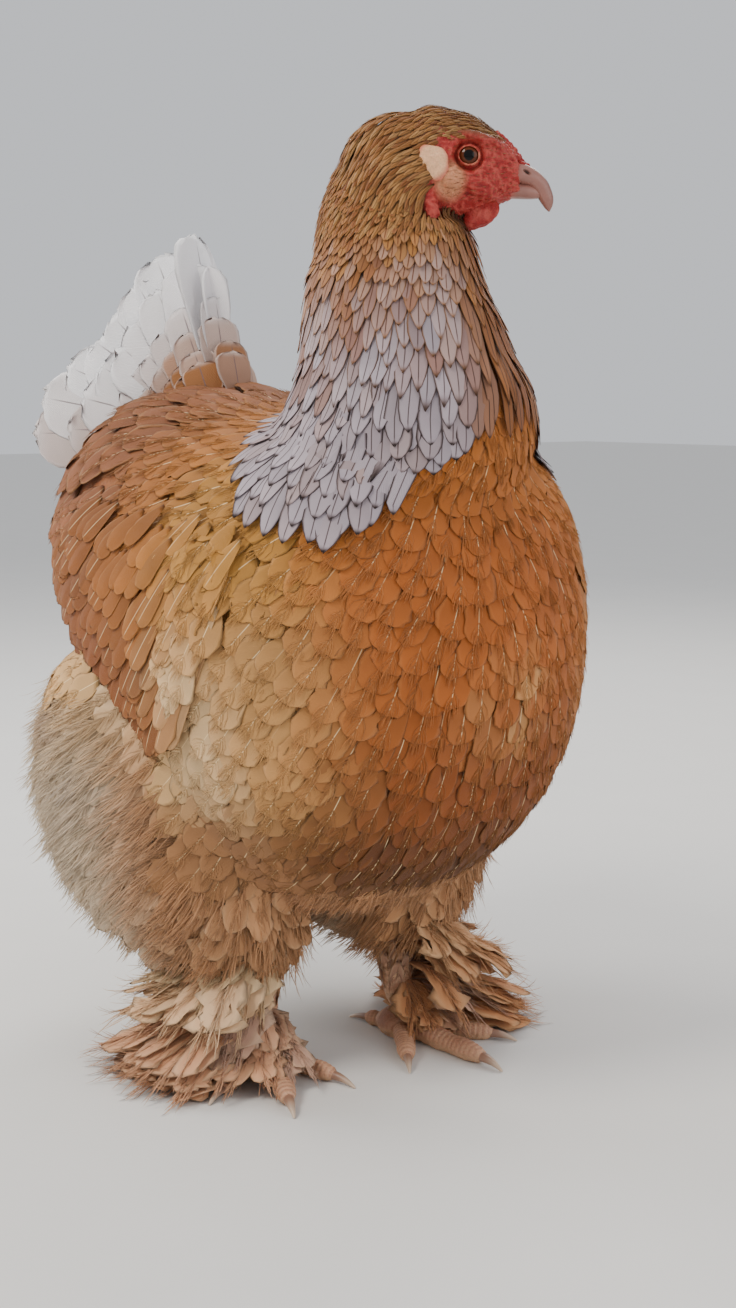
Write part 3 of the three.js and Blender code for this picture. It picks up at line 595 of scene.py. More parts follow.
def with_back(front, back):
    """Each feather's values on its front, followed by those inside the edge of its back."""
    count, inner, rest = len(front), back[:, 1:-1, 1:-1], front.shape[3:]
    return np.concatenate([front.reshape(count, -1, *rest), inner.reshape(count, -1, *rest)], 1)


class Feathers:
    """Feathers from root to tip, with a line, a normal and a lift at each station.

    A look is base, edge and shaft colours, and a place is each feather's spot on the bake map."""

    def __init__(self, line, normal, stations, half, lift, look, place):
        self.line, self.normal, self.stations, self.half = line, normal, stations, half
        self.lift, self.look, self.place = lift, look, place
        self.length = np.linalg.norm(np.diff(line, axis=1), axis=2).sum(1)

    def where(self, chosen, look=None):
        look = look or tuple(value[chosen] for value in self.look)
        line, normal, half = self.line[chosen], self.normal[chosen], self.half[chosen]
        return Feathers(line, normal, self.stations, half, self.lift[chosen], look, self.place[chosen])


class Coat:
    """Feathers gathered into one mesh piece, with their colours and their places on the maps."""

    def __init__(self):
        self.points, self.faces, self.count = [], [], 0
        self.layers = {name: [] for name in COLOURS + MAPS}

    def add(self, points, faces, *values):
        """values are in the order of COLOURS and MAPS."""
        self.points.append(points)
        self.faces.append(faces + self.count)
        self.count += len(points)
        for store, value in zip(self.layers.values(), values):
            store.append(value)

    def vanes(self, feathers, shape, seed, columns=4, cup=0.3, thick=0.35, ridge=0.3, jag=0.07, roll=0.12):
        """Closed leaf-shaped feathers: cup bends their sides down, ridge lifts the shaft, jag frays them."""
        rng = np.random.default_rng(seed)
        stations, half = feathers.stations, feathers.half[:, None, None]
        n, k = feathers.line.shape[:2]
        c = columns + 1
        tangent = unit(np.gradient(feathers.line, axis=1))
        normal = unit(feathers.normal - tangent * dot(feathers.normal, tangent))
        side = np.cross(tangent, normal)
        tilt = rng.normal(0, roll, (n, 1, 1))
        side, up = side * np.cos(tilt) + normal * np.sin(tilt), normal * np.cos(tilt) - side * np.sin(tilt)
        w = np.linspace(-1, 1, c)
        w = np.sign(w) * np.abs(w) ** 0.3
        off = np.abs(w)
        width = half * SHAPES[shape](stations)[None]
        across = width * w
        ragged = 1 + jag * rng.normal(0, 1, (n, k, c)) * (off > 0.99) * (stations[:, None] > 0.3)
        drop = -cup * half * off**2.0 * (width / half)
        rise = feathers.lift[:, :, None] + ridge * (1 - off) ** 3 + drop
        wave = rng.normal(0, 0.03, (n, 1, c)) * half * stations[None, :, None] * off
        along = np.zeros((n, k, c))
        along[:, -1] = rng.normal(0, 0.05, (n, c)) * half[:, 0] - 0.25 * off * width[:, -1]
        out, up = side[:, :, None] * (across * ragged)[..., None], up[:, :, None]
        top = feathers.line[:, :, None] + out + up * (rise + wave)[..., None]
        top += tangent[:, :, None] * along[..., None]
        under = top - up * (thick * (1 - 0.5 * off))[None, None, :, None]
        points = with_back(top, under)
        per = points.shape[1]
        front = np.arange(k * c).reshape(k, c)
        back = front.copy()
        back[1:-1, 1:-1] = np.arange(k * c, per).reshape(k - 2, c - 2)
        faces = repeated(np.concatenate([quads_of(front), quads_of(back, flipped=True)]), n, per)
        grid = np.stack(np.broadcast_arrays(w, stations[:, None]), -1)[None]
        u, v = with_back(grid, grid)[0].T
        feather = np.tile(np.stack([u * 0.5 + 0.5, v], -1), (n, 1))
        lengthwise = feathers.length[:, None] * v[None]
        barbs = np.stack([with_back(across, across), lengthwise], -1).reshape(-1, 2) / 10
        bake = (feathers.place[:, None] + np.stack([u, v * 2 - 1], -1)[None] * BAKE_SPOT).reshape(-1, 2)
        look = (np.repeat(value, per, 0) for value in feathers.look)
        self.add(points.reshape(-1, 3), faces, *look, bake, feather, barbs)

    def down(self, feathers, seed, barbs, wide, raised, thick, first, spread, curl=0.25, span=(1.25, 0.75)):
        """Loose feathers: separate barbs that leave the shaft to both sides and curl.

        `wide` makes the feathers wider, and `first` is where the barbs begin. `spread` and `span` are the
        barbs' lean in degrees and their length, each at the first barb and at the tip."""
        rng = np.random.default_rng(seed)
        stations, line = feathers.stations, feathers.line
        n, k = line.shape[:2]
        tangent = unit(np.gradient(line, axis=1))
        side = unit(np.cross(tangent, feathers.normal))
        start = np.clip(np.linspace(first, 0.97, barbs)[None] + rng.normal(0, 0.03, (n, barbs)), 0, 0.99)
        sense = np.where(np.arange(barbs) % 2, 1.0, -1.0)[None] * np.ones((n, 1))
        below = np.clip(np.searchsorted(stations, start) - 1, 0, k - 2)
        within = ((start - stations[below]) / (stations[below + 1] - stations[below]))[..., None]
        rows = np.arange(n)[:, None]

        def at_start(values):
            return mix(values[rows, below], values[rows, below + 1], within)

        centre = at_start(line) + at_start(feathers.normal) * at_start((feathers.lift + raised)[..., None])
        way, out, up = unit(at_start(tangent)), unit(at_start(side)), unit(at_start(feathers.normal))
        part = (start - first) / (1 - first)
        lean = np.radians(mix(*spread, part) + rng.normal(0, 9, (n, barbs)))[..., None] * sense[..., None]
        reach = (feathers.half * wide)[:, None] * mix(*span, part) * rng.uniform(0.75, 1.25, (n, barbs))
        reach = reach[..., None]
        heading = way * np.cos(lean) + out * np.sin(lean)
        bend = way * np.cos(lean * 0.35) + out * np.sin(lean * 0.35)
        rise = rng.normal(0.06, curl * 0.5, (n, barbs, 1))
        points = []
        for step in STRAND:
            direction = unit(mix(heading, bend, step))
            middle = centre + direction * reach * step + up * (rise * reach * step * step * 1.2)
            if step < 1:
                size = thick * (1 - 0.55 * step) * mix(1.0, 1.7, min(step * 2, 1))
                flat = unit(np.cross(direction, up))
                points += [middle + flat * size, middle - flat * size, middle + up * size * 0.5]
        points = np.stack(points + [middle], 2).reshape(-1, 3)
        along = np.repeat(STRAND, (3, 3, 3, 1))
        u = np.broadcast_to(along[None, None] * sense[..., None], (n, barbs, PER_BARB))
        v = np.broadcast_to(start[..., None], (n, barbs, PER_BARB))
        bake = (feathers.place[:, None, None] + np.stack([u, v * 2 - 1], -1) * BAKE_SPOT).reshape(-1, 2)
        marks = np.stack([u * 0.6, v * feathers.length[:, None, None] / 10], -1).reshape(-1, 2)
        look = [np.repeat(value, barbs * PER_BARB, 0) for value in feathers.look]
        look[0][:, :3] *= np.repeat(1 + rng.normal(0, 0.12, (n * barbs, 1)), PER_BARB, 0)
        faces = repeated(barb_faces(), n * barbs, PER_BARB)
        self.add(points, faces, *look, bake, np.tile([0.8, 0.45], (len(points), 1)), marks)

    def piece(self, name, finish, nodes):
        points = np.vstack(self.points)
        points[:, 2] = np.maximum(points[:, 2], FEATHER_GAP)
        mesh = build_mesh(name, points, self.faces)
        for layer in COLOURS:
            paint(mesh, layer, np.vstack(self.layers[layer]))
        for layer in MAPS:
            lay_uv(mesh, layer, np.vstack(self.layers[layer]))
        add_piece(name, mesh, finish, nodes)


# Plumage: colours by place


def colour(*rgb):
    """A display colour from 0 to 255 as a scene colour."""
    c = np.array(rgb, float) / 255
    return np.where(c <= 0.04045, c / 12.92, ((c + 0.055) / 1.055) ** 2.4)


ORANGE = colour(178, 98, 42)
DEEP = colour(136, 72, 30)
SHADE = colour(98, 58, 28)
GOLD = colour(184, 114, 48)
PALE = colour(210, 164, 106)
CREAM = colour(226, 196, 152)
OCHRE = colour(190, 142, 66)
SHAFT_PALE = colour(250, 222, 172)
CUSHION = colour(148, 90, 54)
SMOKE = colour(172, 160, 168)
SMOKE_DARK = colour(54, 34, 28)
HACKLE_GOLD = colour(176, 120, 64)
HACKLE_BROWN = colour(134, 78, 40)
WHITE = colour(250, 249, 252)
TAIL_SHAFT = colour(118, 102, 106)
FLUFF = colour(208, 186, 158)
LAVENDER = colour(176, 162, 160)
FOOT = colour(196, 148, 114)
TOE_PINK = colour(190, 146, 116)
TOE_DEEP = colour(150, 100, 78)
CLAW_ROOT = colour(150, 112, 92)
CLAW_TIP = colour(214, 192, 168)
RED = colour(152, 34, 30)
RED_DEEP = colour(122, 24, 24)
RED_PALE = colour(198, 92, 78)
BARE_PALE = colour(206, 148, 106)
LID = colour(196, 112, 88)
LOBE_PALE = colour(222, 172, 132)
BRISTLE = colour(120, 66, 44)
HORN_PINK = colour(150, 100, 88)
HORN_DARK = colour(84, 56, 46)
PALE_SPOT = np.array([128, 15, 200])  # the middle of a paler patch on the breast
BODY_MIDDLE = np.array([-15.0, 0, 215])


def blended(base, *layers):
    """A colour with layers of (colour, amount) laid over it in turn."""
    for target, amount in layers:
        amount = np.clip(amount, 0, 1)
        base = base + (target - base) * (amount[:, None] if np.ndim(amount) else amount)
    return base


def with_strength(rgb, strength):
    strength = np.broadcast_to(np.asarray(strength, float), (len(rgb),))
    return np.concatenate([np.clip(rgb, 0, 1), strength[:, None]], 1)


def look_of(base, edge, edge_strength, shaft, shaft_strength):
    """Base, edge and shaft colours of feathers, each with its strength."""
    edge, shaft = np.broadcast_to(edge, base.shape), np.broadcast_to(shaft, base.shape)
    return with_strength(base, 1), with_strength(edge, edge_strength), with_strength(shaft, shaft_strength)


def body_look(p, seed=0):
    x, y, z = p.T
    side = np.abs(y)
    rng = np.random.default_rng(seed + 100)
    flank = ramp(side, 40, 112) * ramp(z, 100, 160) * ramp(z, 300, 220) * ramp(x, 150, 84)
    # Painted shade: the pale flank is fainter on the left side, the side turned from the light.
    flank = flank * np.where(y > 0, 0.4, 1)
    patches = ramp(noise(p, 34, 3), 0.3, 0.8) * ramp(x, 120, 40) * ramp(x, -10, 30) * ramp(z, 120, 160)
    base = blended(
        GOLD,
        (ORANGE, ramp(x, 76, 130)),
        (GOLD, ramp(z, 270, 330) * 0.5),
        (DEEP, ramp(z, 225, 150) * ramp(x, 50, 110) * 0.85),
        (PALE, flank * 0.7),
        (CREAM, flank * ramp(x, 84, 30) * ramp(z, 250, 200) * 0.7),
        (GOLD, ramp(x, 30, -20) * ramp(z, 225, 262)),
        (PALE, 0.35 * ramp(np.linalg.norm(p - PALE_SPOT, axis=1), 44, 4) * rng.uniform(0, 2, len(p))),
        (OCHRE, 0.6 * ramp(x, -10, 30) * ramp(x, 120, 80) * ramp(z, 235, 275) * ramp(side, 70, 100)),
        (CUSHION, ramp(x, 0, -70) * ramp(z, 225, 285)),
        (DEEP, ramp(x, -95, -140) * ramp(z, 300, 250) * 0.4),
        (PALE, ramp(z, 262, 205) * ramp(x, 30, -10) * 0.85),
        (SHADE, ramp(z, 160, 100) * ramp(x, 20, 80) * 0.95),
        (blended(FLUFF, (GOLD, 0.75)) * 0.86, ramp(z, 165, 125) * ramp(x, 84, 40)),
        (CREAM, patches * 0.35),
    )
    # Painted shade: darker on the top of the back, against the bright light from above, and darker on the
    # lower breast and belly under the body, like the SHADE layer above.
    back_top_shade, belly_shade = ramp(x, 70, 20) * ramp(z, 270, 310), ramp(z, 190, 110) * ramp(x, -20, 40)
    base = base * (1 - 0.16 * back_top_shade - 0.2 * belly_shade)[:, None]
    base = base * (1 + 0.14 * noise(p, 30, 5) + rng.normal(0, 0.045, len(p)))[:, None]
    edge_strength = mix(0.32, 0.75, ramp(x, 0, -80)) * rng.uniform(0.4, 1.2, len(p))
    shaft_strength = np.clip(rng.normal(0.7, 0.4, len(p)), 0, 1)
    edge, shaft = blended(base * 1.2, (PALE, 0.3)), blended(SHAFT_PALE, (base, 0.1))
    return look_of(base, edge, edge_strength, shaft, shaft_strength)


def fluff_look(p, seed=0):
    x, y, z = p.T
    rng = np.random.default_rng(seed + 200)
    base = blended(
        FLUFF,
        (GOLD, ramp(x, -50, 10) * 0.7),
        (LAVENDER, ramp(noise(p, 40, 8), 0.15, 0.7) * 0.6 * ramp(x, -20, -70)),
        (CREAM, ramp(x, -90, -150) * 0.7),
        (PALE, ramp(z, 145, 205) * 0.6),
    )
    base = base * (1 + 0.14 * noise(p, 22, 9) + rng.normal(0, 0.07, len(p)))[:, None]
    edge = blended(base * 1.2, (CREAM, 0.4))
    return look_of(base, edge, 0.45, edge, 0.3)


def hackle_look(p, down, front):
    """down: millimetres below the head; front: 1 at the throat and 0 at the nape."""
    rng = np.random.default_rng(300)
    grey = ramp(down, 42, 140) * mix(1.0, 0.1, ramp(front, 0.76, 0.92))
    grey = np.clip(grey + rng.normal(0, 0.14, len(p)) * ramp(down, 40, 70), 0, 1)
    mixed = np.clip(0.5 * noise(p, 22, 14) + rng.normal(0.2, 0.3, len(p)), 0, 0.75)
    base = blended(
        HACKLE_GOLD,
        (SMOKE, grey),
        (HACKLE_BROWN, mixed * ramp(down, 175, 120)),
        (HACKLE_BROWN, ramp(down, 70, 30) * 0.5 + ramp(front, 0.76, 0.97) * 0.85),
    )
    base = base * (1 + rng.normal(0, 0.07, len(p)))[:, None]
    dark = blended(SMOKE_DARK, (HACKLE_BROWN * 0.6, ramp(down, 130, 60)))
    rim = blended(dark, (HACKLE_GOLD * 0.8, ramp(down, 150, 90) * 0.9))
    return look_of(base, rim, mix(0.7, 0.95, grey), dark, mix(0.95, 0.8, grey))


# Bake maps: places from 0 to 1 both ways


def unwrap(p):
    """The body laid flat by direction from its middle."""
    flat = unit(p - BODY_MIDDLE)
    around = np.arctan2(flat[:, 1], flat[:, 0]) / (2.04 * math.pi)
    return np.stack([0.5 + around, 0.5 + flat[:, 2] * 0.49], -1)


def unwrap_neck(angle, down):
    return np.stack([0.02 + 0.96 * (angle % (2 * math.pi)) / (2 * math.pi), 0.98 - 0.9 * down / 260], -1)


def unwrap_head(h):
    return np.stack([0.5 + np.arctan2(h[:, 1], h[:, 2]) / 7, 0.5 + h[:, 0] / 90], -1)


# Materials


class Nodes:
    """A short way to build a node material."""

    def __init__(self, name, **sockets):
        self.material = bpy.data.materials.new(name)
        self.material.use_nodes = True
        self.tree = self.material.node_tree
        self.shader = self.tree.nodes["Principled BSDF"]
        for key, value in sockets.items():
            self.shader.inputs[key.replace("_", " ")].default_value = value

    def node(self, kind, **settings):
        made = self.tree.nodes.new("ShaderNode" + kind)
        for key, value in settings.items():
            setattr(made, key, value)
        return made

    def link(self, source, target):
        if isinstance(source, (int, float, tuple)):
            target.default_value = source
        else:
            self.tree.links.new(source, target)

    def math(self, operation, a, b=0.0):
        made = self.node("Math", operation=operation)
        self.link(a, made.inputs[0])
        self.link(b, made.inputs[1])
        return made.outputs[0]

    def add(self, a, b):
        return self.math("ADD", a, b)

    def less(self, a, b):
        return self.math("SUBTRACT", a, b)

    def times(self, a, b):
        return self.math("MULTIPLY", a, b)

    def smooth(self, value, start, end):
        made = self.node("MapRange", interpolation_type="SMOOTHSTEP")
        self.link(value, made.inputs[0])
        made.inputs[1].default_value, made.inputs[2].default_value = start, end
        return made.outputs[0]

    def span(self, value, low_out, high_out):
        made = self.node("MapRange")
        self.link(value, made.inputs[0])
        made.inputs[3].default_value, made.inputs[4].default_value = low_out, high_out
        return made.outputs[0]

    def mix(self, factor, a, b, blend="MIX"):
        made = self.node("Mix", data_type="RGBA", blend_type=blend)
        self.link(factor, made.inputs[0])
        self.link(a, made.inputs[6])
        self.link(b, made.inputs[7])
        return made.outputs[2]

    def darkened(self, base, tone):
        return self.mix(1.0, base, tone, "MULTIPLY")

    def attribute(self, name):
        made = self.node("Attribute", attribute_name=name, attribute_type="GEOMETRY")
        return made.outputs["Color"], made.outputs["Alpha"]

    def uv(self, name):
        made = self.node("UVMap", uv_map=name)
        parts = self.node("SeparateXYZ")
        self.link(made.outputs[0], parts.inputs[0])
        return parts.outputs[0], parts.outputs[1], made.outputs[0]

    def grain(self, scale, detail=3.0, kind="Noise", vector=None, rough=0.55):
        made = self.node("Tex" + kind)
        for key, value in (("Scale", scale), ("Detail", detail), ("Roughness", rough)):
            if key in made.inputs:
                made.inputs[key].default_value = value
        vector = self.node("TexCoord").outputs["Object"] if vector is None else vector
        self.link(vector, made.inputs["Vector"])
        return made.outputs[0]

    def bump(self, height, distance, strength):
        made = self.node("Bump")
        made.inputs["Strength"].default_value = strength
        made.inputs["Distance"].default_value = distance
        self.link(height, made.inputs["Height"])
        return made.outputs[0]

    def done(self, base, rough, normal=None):
        self.link(base, self.shader.inputs["Base Color"])
        self.link(rough, self.shader.inputs["Roughness"])
        if normal is not None:
            self.link(normal, self.shader.inputs["Normal"])
        return self.material


def feather_material(name, shaft_width=0.25, barb=1.0, edge_start=0.72, gloss=0.62, sheen=0.06):
    """Barbs slanting from a shaft, with an edge and a shaft in colours of their own."""
    m = Nodes(name, Specular_IOR_Level=0.2, Sheen_Weight=sheen, Sheen_Roughness=0.45)
    base, _ = m.attribute("Coat")
    edge, edge_strength = m.attribute("Edge")
    shaft, shaft_strength = m.attribute("Shaft")
    u, v, _ = m.uv("Feather")
    across, along, barbs = m.uv("Barbs")
    from_shaft = m.math("ABSOLUTE", m.less(m.times(u, 2.0), 1.0))
    away = m.math("ABSOLUTE", across)
    slanted = m.times(m.less(along, m.times(away, 0.9)), 80.0 * barb)
    lines = m.add(slanted, m.times(m.grain(6.0, 2.0, vector=barbs), 9.0))
    stripe = m.add(m.times(m.math("SINE", lines), 0.5), 0.5)
    fine = m.grain(900.0, 4.0)
    tone = m.span(m.add(m.times(m.grain(60.0, 4.0), 0.7), m.times(stripe, 0.3)), 0.84, 1.13)
    # Painted shade: each feather is darker towards its root, where the feather above overlaps it, and lighter
    # towards its tip.
    tone = m.times(tone, m.span(m.smooth(v, 0.5, 0.88), 0.88, 1.05))
    rim = m.math("MAXIMUM", m.smooth(from_shaft, edge_start, 0.97), m.smooth(v, 0.9, 0.99))
    coloured = m.mix(m.times(rim, edge_strength), m.darkened(base, tone), edge)
    line = m.less(1.0, m.smooth(away, shaft_width * 0.05, shaft_width * 0.13))
    line = m.times(line, m.smooth(v, 0.985, 0.86))
    coloured = m.mix(m.times(line, shaft_strength), coloured, shaft)
    height = m.add(m.times(stripe, 0.7), m.times(fine, 0.6))
    return m.done(coloured, m.span(fine, gloss, gloss + 0.2), m.bump(height, 0.00035, 0.7))


def skin_material(name, rough, bump, scale):
    """Bare or covered skin: the painted colour broken up by fine creases."""
    m = Nodes(name, Specular_IOR_Level=0.4, Subsurface_Weight=0.12, Subsurface_Scale=0.003)
    base, _ = m.attribute("Coat")
    creases = m.grain(scale, 5.0, rough=0.65)
    cells = m.grain(scale * 1.6, kind="Voronoi")
    tone = m.span(m.add(m.times(creases, 0.7), m.times(cells, 0.4)), 0.62, 1.3)
    height = m.add(creases, m.times(cells, 0.8))
    return m.done(m.darkened(base, tone), m.span(creases, rough, rough + 0.25), m.bump(height, bump, 0.8))


def horn_material():
    m = Nodes("horn", Specular_IOR_Level=0.5, Coat_Weight=0.15, Coat_Roughness=0.35)
    base, _ = m.attribute("Coat")
    layers = m.grain(170.0, 4.0)
    flecks = m.grain(1500.0, 2.0)
    coloured = m.darkened(base, m.span(layers, 0.72, 1.22))
    height = m.add(layers, m.times(flecks, 0.3))
    return m.done(coloured, m.span(flecks, 0.3, 0.5), m.bump(height, 0.0004, 0.5))


def eye_material():
    """A dark pupil, a fibrous brown iris and the dark rim under the lids, which is painted shade."""
    m = Nodes("eye", Specular_IOR_Level=0.15, Coat_Weight=0.12, Coat_Roughness=0.03)
    inner, outer_brown = (*colour(86, 40, 16), 1), (*colour(62, 28, 12), 1)
    pupil, rim = (*colour(9, 6, 5), 1), (*colour(24, 12, 8), 1)
    away, _, _ = m.uv("Eye")
    fibres = m.grain(700.0, 3.0)
    ring = m.add(away, m.times(m.less(fibres, 0.5), 0.05))
    iris = m.mix(m.smooth(ring, 0.42, 0.72), inner, outer_brown)
    iris = m.darkened(iris, m.span(fibres, 0.6, 1.4))
    shown = m.mix(m.smooth(ring, 0.33, 0.39), pupil, iris)
    # Painted shade: near black round the iris, under the lids.
    shown = m.mix(m.smooth(away, 0.72, 0.86), shown, rim)
    return m.done(shown, m.span(fibres, 0.08, 0.14))


def floor_material():
    m = Nodes("floor", Roughness=0.85)
    speckle = m.grain(14.0, 6.0)
    tint = m.mix(speckle, (0.74, 0.73, 0.71, 1), (0.78, 0.77, 0.75, 1))
    return m.done(tint, m.span(speckle, 0.8, 0.9), m.bump(speckle, 0.002, 0.2))


# A finish is a material and the name of its slot.
FEATHER = feather_material("body_feather"), "body_feather"
HACKLE = feather_material("hackle_feather", shaft_width=0.32, edge_start=0.74, gloss=0.55), "hackle_feather"
TAIL = feather_material("tail_feather", shaft_width=0.4, barb=0.7, edge_start=0.85, gloss=0.6), "tail_feather"
SOFT = (
    feather_material("fluff_feather", shaft_width=0.16, edge_start=0.6, gloss=0.75, sheen=0.12),
    "fluff_feather",
)
FACE = skin_material("face_skin", 0.38, 0.0006, 700.0), "face_skin"
LOBE = skin_material("earlobe_skin", 0.5, 0.0004, 600.0), "earlobe"
UNDER = skin_material("body_skin", 0.7, 0.0008, 300.0), "body_feather"
SCALE = skin_material("toe_scale", 0.45, 0.0004, 500.0), "toe_scale"
HORN = horn_material(), "horn"
EYE = eye_material(), "eye"


# Skin

outer = fused(
    "coat_ground",
    [torso.mesh(72, 48), neck.mesh(60, 40), fluff.mesh(64, 32)]
    + [thigh(name).mesh(56, 32) for name in SIDES]
    + [wing_shield(side, 7.0) for side in SIDES.values()],
    voxel=3.0,
    smoothing=8,
)
ground = Surface(outer)


def softness(p):
    """1 where the feathers are loose fluff, 0 where they are firm."""
    x, y, z = p.T
    edge = 12 * noise(p, 18, 77)
    return np.maximum(ramp(x + edge, 22, -12) * ramp(z + edge, 212, 178), ramp(z, 118, 92))


def wing_share(p):
    """How far along the wing a place is, how high on it from 0 to 1, and whether it lies on the wing."""
    x, y, z = p.T
    share = (WING_FRONT - x) / (WING_FRONT - WING_REAR)
    low_edge, high_edge = wing_edges(share).T
    inside = (share > 0) & (share < 1) & (z > low_edge) & (z < high_edge) & (np.abs(y) > WING_OUT)
    return share, (z - low_edge) / (high_edge - low_edge), inside


cape_length = through([[0, 10], [25, 20], [55, 44], [83, 76], [105, 72], [130, 45], [150, 28], [180, 18]])


def from_neck(p):
    """How far a place is from the neck's axis."""
    return np.hypot(p[:, 0] - NECK_AXIS, p[:, 1])


def tucked(p):
    """1 where the cape hangs over the body's own feathers."""
    around = np.degrees(np.arctan2(np.abs(p[:, 1]), p[:, 0] - NECK_AXIS))
    border = np.maximum(308, 362 - 0.8 * cape_length(around)[:, 0])
    return ramp(from_neck(p), 88, 78) * ramp(p[:, 2], border, border + 12)


inner = outer.copy()
inner.name = "skin"
p = points_of(inner)
depth = mix(mix(1.7, 6.0, softness(p)), 4.0, ramp(p[:, 2], 330, 375))
depth = np.where(wing_share(p)[2], 6.5, np.maximum(depth, 5.0 * tucked(p)))
set_points(inner, p - normals_of(inner) * depth[:, None])
firm_tone, loose_tone = body_look(p)[0][:, :3], fluff_look(p)[0][:, :3]
tint = blended(
    mix(firm_tone, loose_tone, softness(p)[:, None]) * 0.95,
    # Painted shade: dark grey on the skin under the front of the cape.
    (SMOKE * 0.35, ramp(p[:, 2], 330, 350) * ramp(from_neck(p), 90, 80) * ramp(p[:, 0], 96, 74)),
    (HACKLE_BROWN * 0.6, ramp(p[:, 2], 420, 450)),
)
add_painted("skin", inner, tint, UNDER, ["torso", "fluff", "neck", "thigh_left", "thigh_right"])

# Body feathers

STATIONS = np.array([0, 0.22, 0.42, 0.58, 0.7, 0.8, 0.88, 0.95, 1.0])
TO_REAR = unit(np.array([-0.75, 0, -0.65]))
COAT_SPLIT = 8  # where the front piece of the coat meets the rear one


def wing_slope(share):
    """How steeply the feathers run down the wing, in radians."""
    return np.radians(mix(62, 28, share))


def flow(p, normal):
    share, _, inside = wing_share(p)
    slope = wing_slope(np.clip(share, 0, 1))
    on_wing = np.stack([-np.cos(slope), np.zeros(len(p)), -np.sin(slope)], -1)
    swirl = noise(p, 30, 21) * 0.22
    way = np.where(inside[:, None], on_wing, TO_REAR)
    under_tail = ramp(p[:, 0], -110, -150) * ramp(p[:, 2], 230, 300)
    way = way + np.outer(under_tail, [0.0, 0, -0.6])
    return unit(way + np.cross(normal, way) * swirl[:, None])


def under_wing(p):
    """Places that the wing's own feathers cover."""
    share, rise, inside = wing_share(p)
    return inside & (share > 0.24) & (rise < 0.74)


def body_spacing(p):
    x, y, z = p.T
    gap = mix(11.0, 9.5, ramp(z, 250, 320) * ramp(x, 0, 60))
    gap = mix(gap, 14.5, ramp(x, -20, -80) * ramp(z, 235, 280))
    share, _, inside = wing_share(p)
    return np.where(inside & (share > 0.2), 8.0, gap)


def is_firm(p, normal):
    under_cape = (p[:, 2] > 368) | ((p[:, 2] > 346) & (from_neck(p) < 42))
    return (softness(p) < 0.5) & ~under_cape & ~under_wing(p)


def is_loose(p, normal):
    return (softness(p) >= 0.5) & ~under_wing(p)


def body_feathers(tips, seed):
    rng = np.random.default_rng(seed)
    gap = body_spacing(tips)
    line, normal = ground.trace(tips, gap * rng.uniform(2.3, 2.8, len(tips)), flow, STATIONS)
    half = gap * rng.uniform(0.8, 0.96, len(tips))
    raised = rng.uniform(-0.1, 0.3, (len(tips), 1)) * STATIONS[None] ** 2
    lift = mix(-1.3, 0.0, STATIONS[None] ** 0.9) + raised - 2.6 * tucked(tips)[:, None]
    puffed = ramp(tips[:, 0], -30, -90) * ramp(tips[:, 2], 240, 300)
    lift = lift + (puffed * rng.uniform(1.0, 4.0, len(tips)))[:, None] * STATIONS[None] ** 1.5
    return Feathers(line, normal, STATIONS, half, lift, body_look(tips, seed), unwrap(tips))


spots = ground.scatter(body_spacing, is_firm, 11)
ahead = spots[:, 0] > COAT_SPLIT
for name, tips, seed in (("front", spots[ahead], 31), ("rear", spots[~ahead], 32)):
    feathers = body_feathers(tips, seed)
    coat, fringe = Coat(), Coat()
    coat.vanes(feathers, "round", seed, cup=0.02, thick=0.06, ridge=0.0, roll=0.025, jag=0.08)
    coat.piece(f"coat_{name}", FEATHER, ["torso"])
    base, edge, _ = feathers.look
    feathers.look = with_strength(mix(base[:, :3], edge[:, :3], 0.4), 1), edge, edge
    fringe.down(feathers, seed + 2, barbs=18, wide=1, raised=0.12, thick=0.18, curl=0.06,
                first=0.6, spread=(52, 14), span=(1.2, 0.7))
    fringe.piece(f"fringe_{name}", FEATHER, ["torso"])

# Fluff

tufts = ground.scatter(10.0, is_loose, 12)
rng = np.random.default_rng(5)
line, normal = ground.trace(tufts, rng.uniform(30, 46, len(tufts)), flow, STATIONS)
half = rng.uniform(7.5, 10.5, len(tufts))
lift = mix(-5.0, -0.8, STATIONS[None] ** 0.9) + rng.uniform(-1, 1.5, (len(tufts), 1)) * STATIONS[None] ** 2
hanging = ramp(tufts[:, 2], 120, 70) * rng.uniform(0, 7, len(tufts))
lift = lift + hanging[:, None] * STATIONS[None] ** 2
feathers = Feathers(line, normal, STATIONS, half, lift, fluff_look(tufts, 1), unwrap(tufts))
coat = Coat()
coat.vanes(feathers, "round", 41, jag=0.2, cup=0.15, thick=0.18, ridge=0.1, roll=0.08)
coat.piece("fluff_coat", SOFT, ["fluff", "thigh_left", "thigh_right"])
for name, chosen in (("left", tufts[:, 1] > 0), ("right", tufts[:, 1] <= 0)):
    coat = Coat()
    coat.down(feathers.where(chosen, fluff_look(tufts[chosen], 2)), 42, barbs=32, wide=2.3, raised=1.0,
              thick=0.22, curl=0.24, first=0.35, spread=(38, 10), span=(1.2, 0.8))
    coat.piece(f"down_{name}", SOFT, ["fluff", f"thigh_{name}"])

# Hackle

H_STATIONS = np.array([0, 0.25, 0.45, 0.62, 0.75, 0.86, 0.94, 1.0])
HACKLE_OUT = 2.2


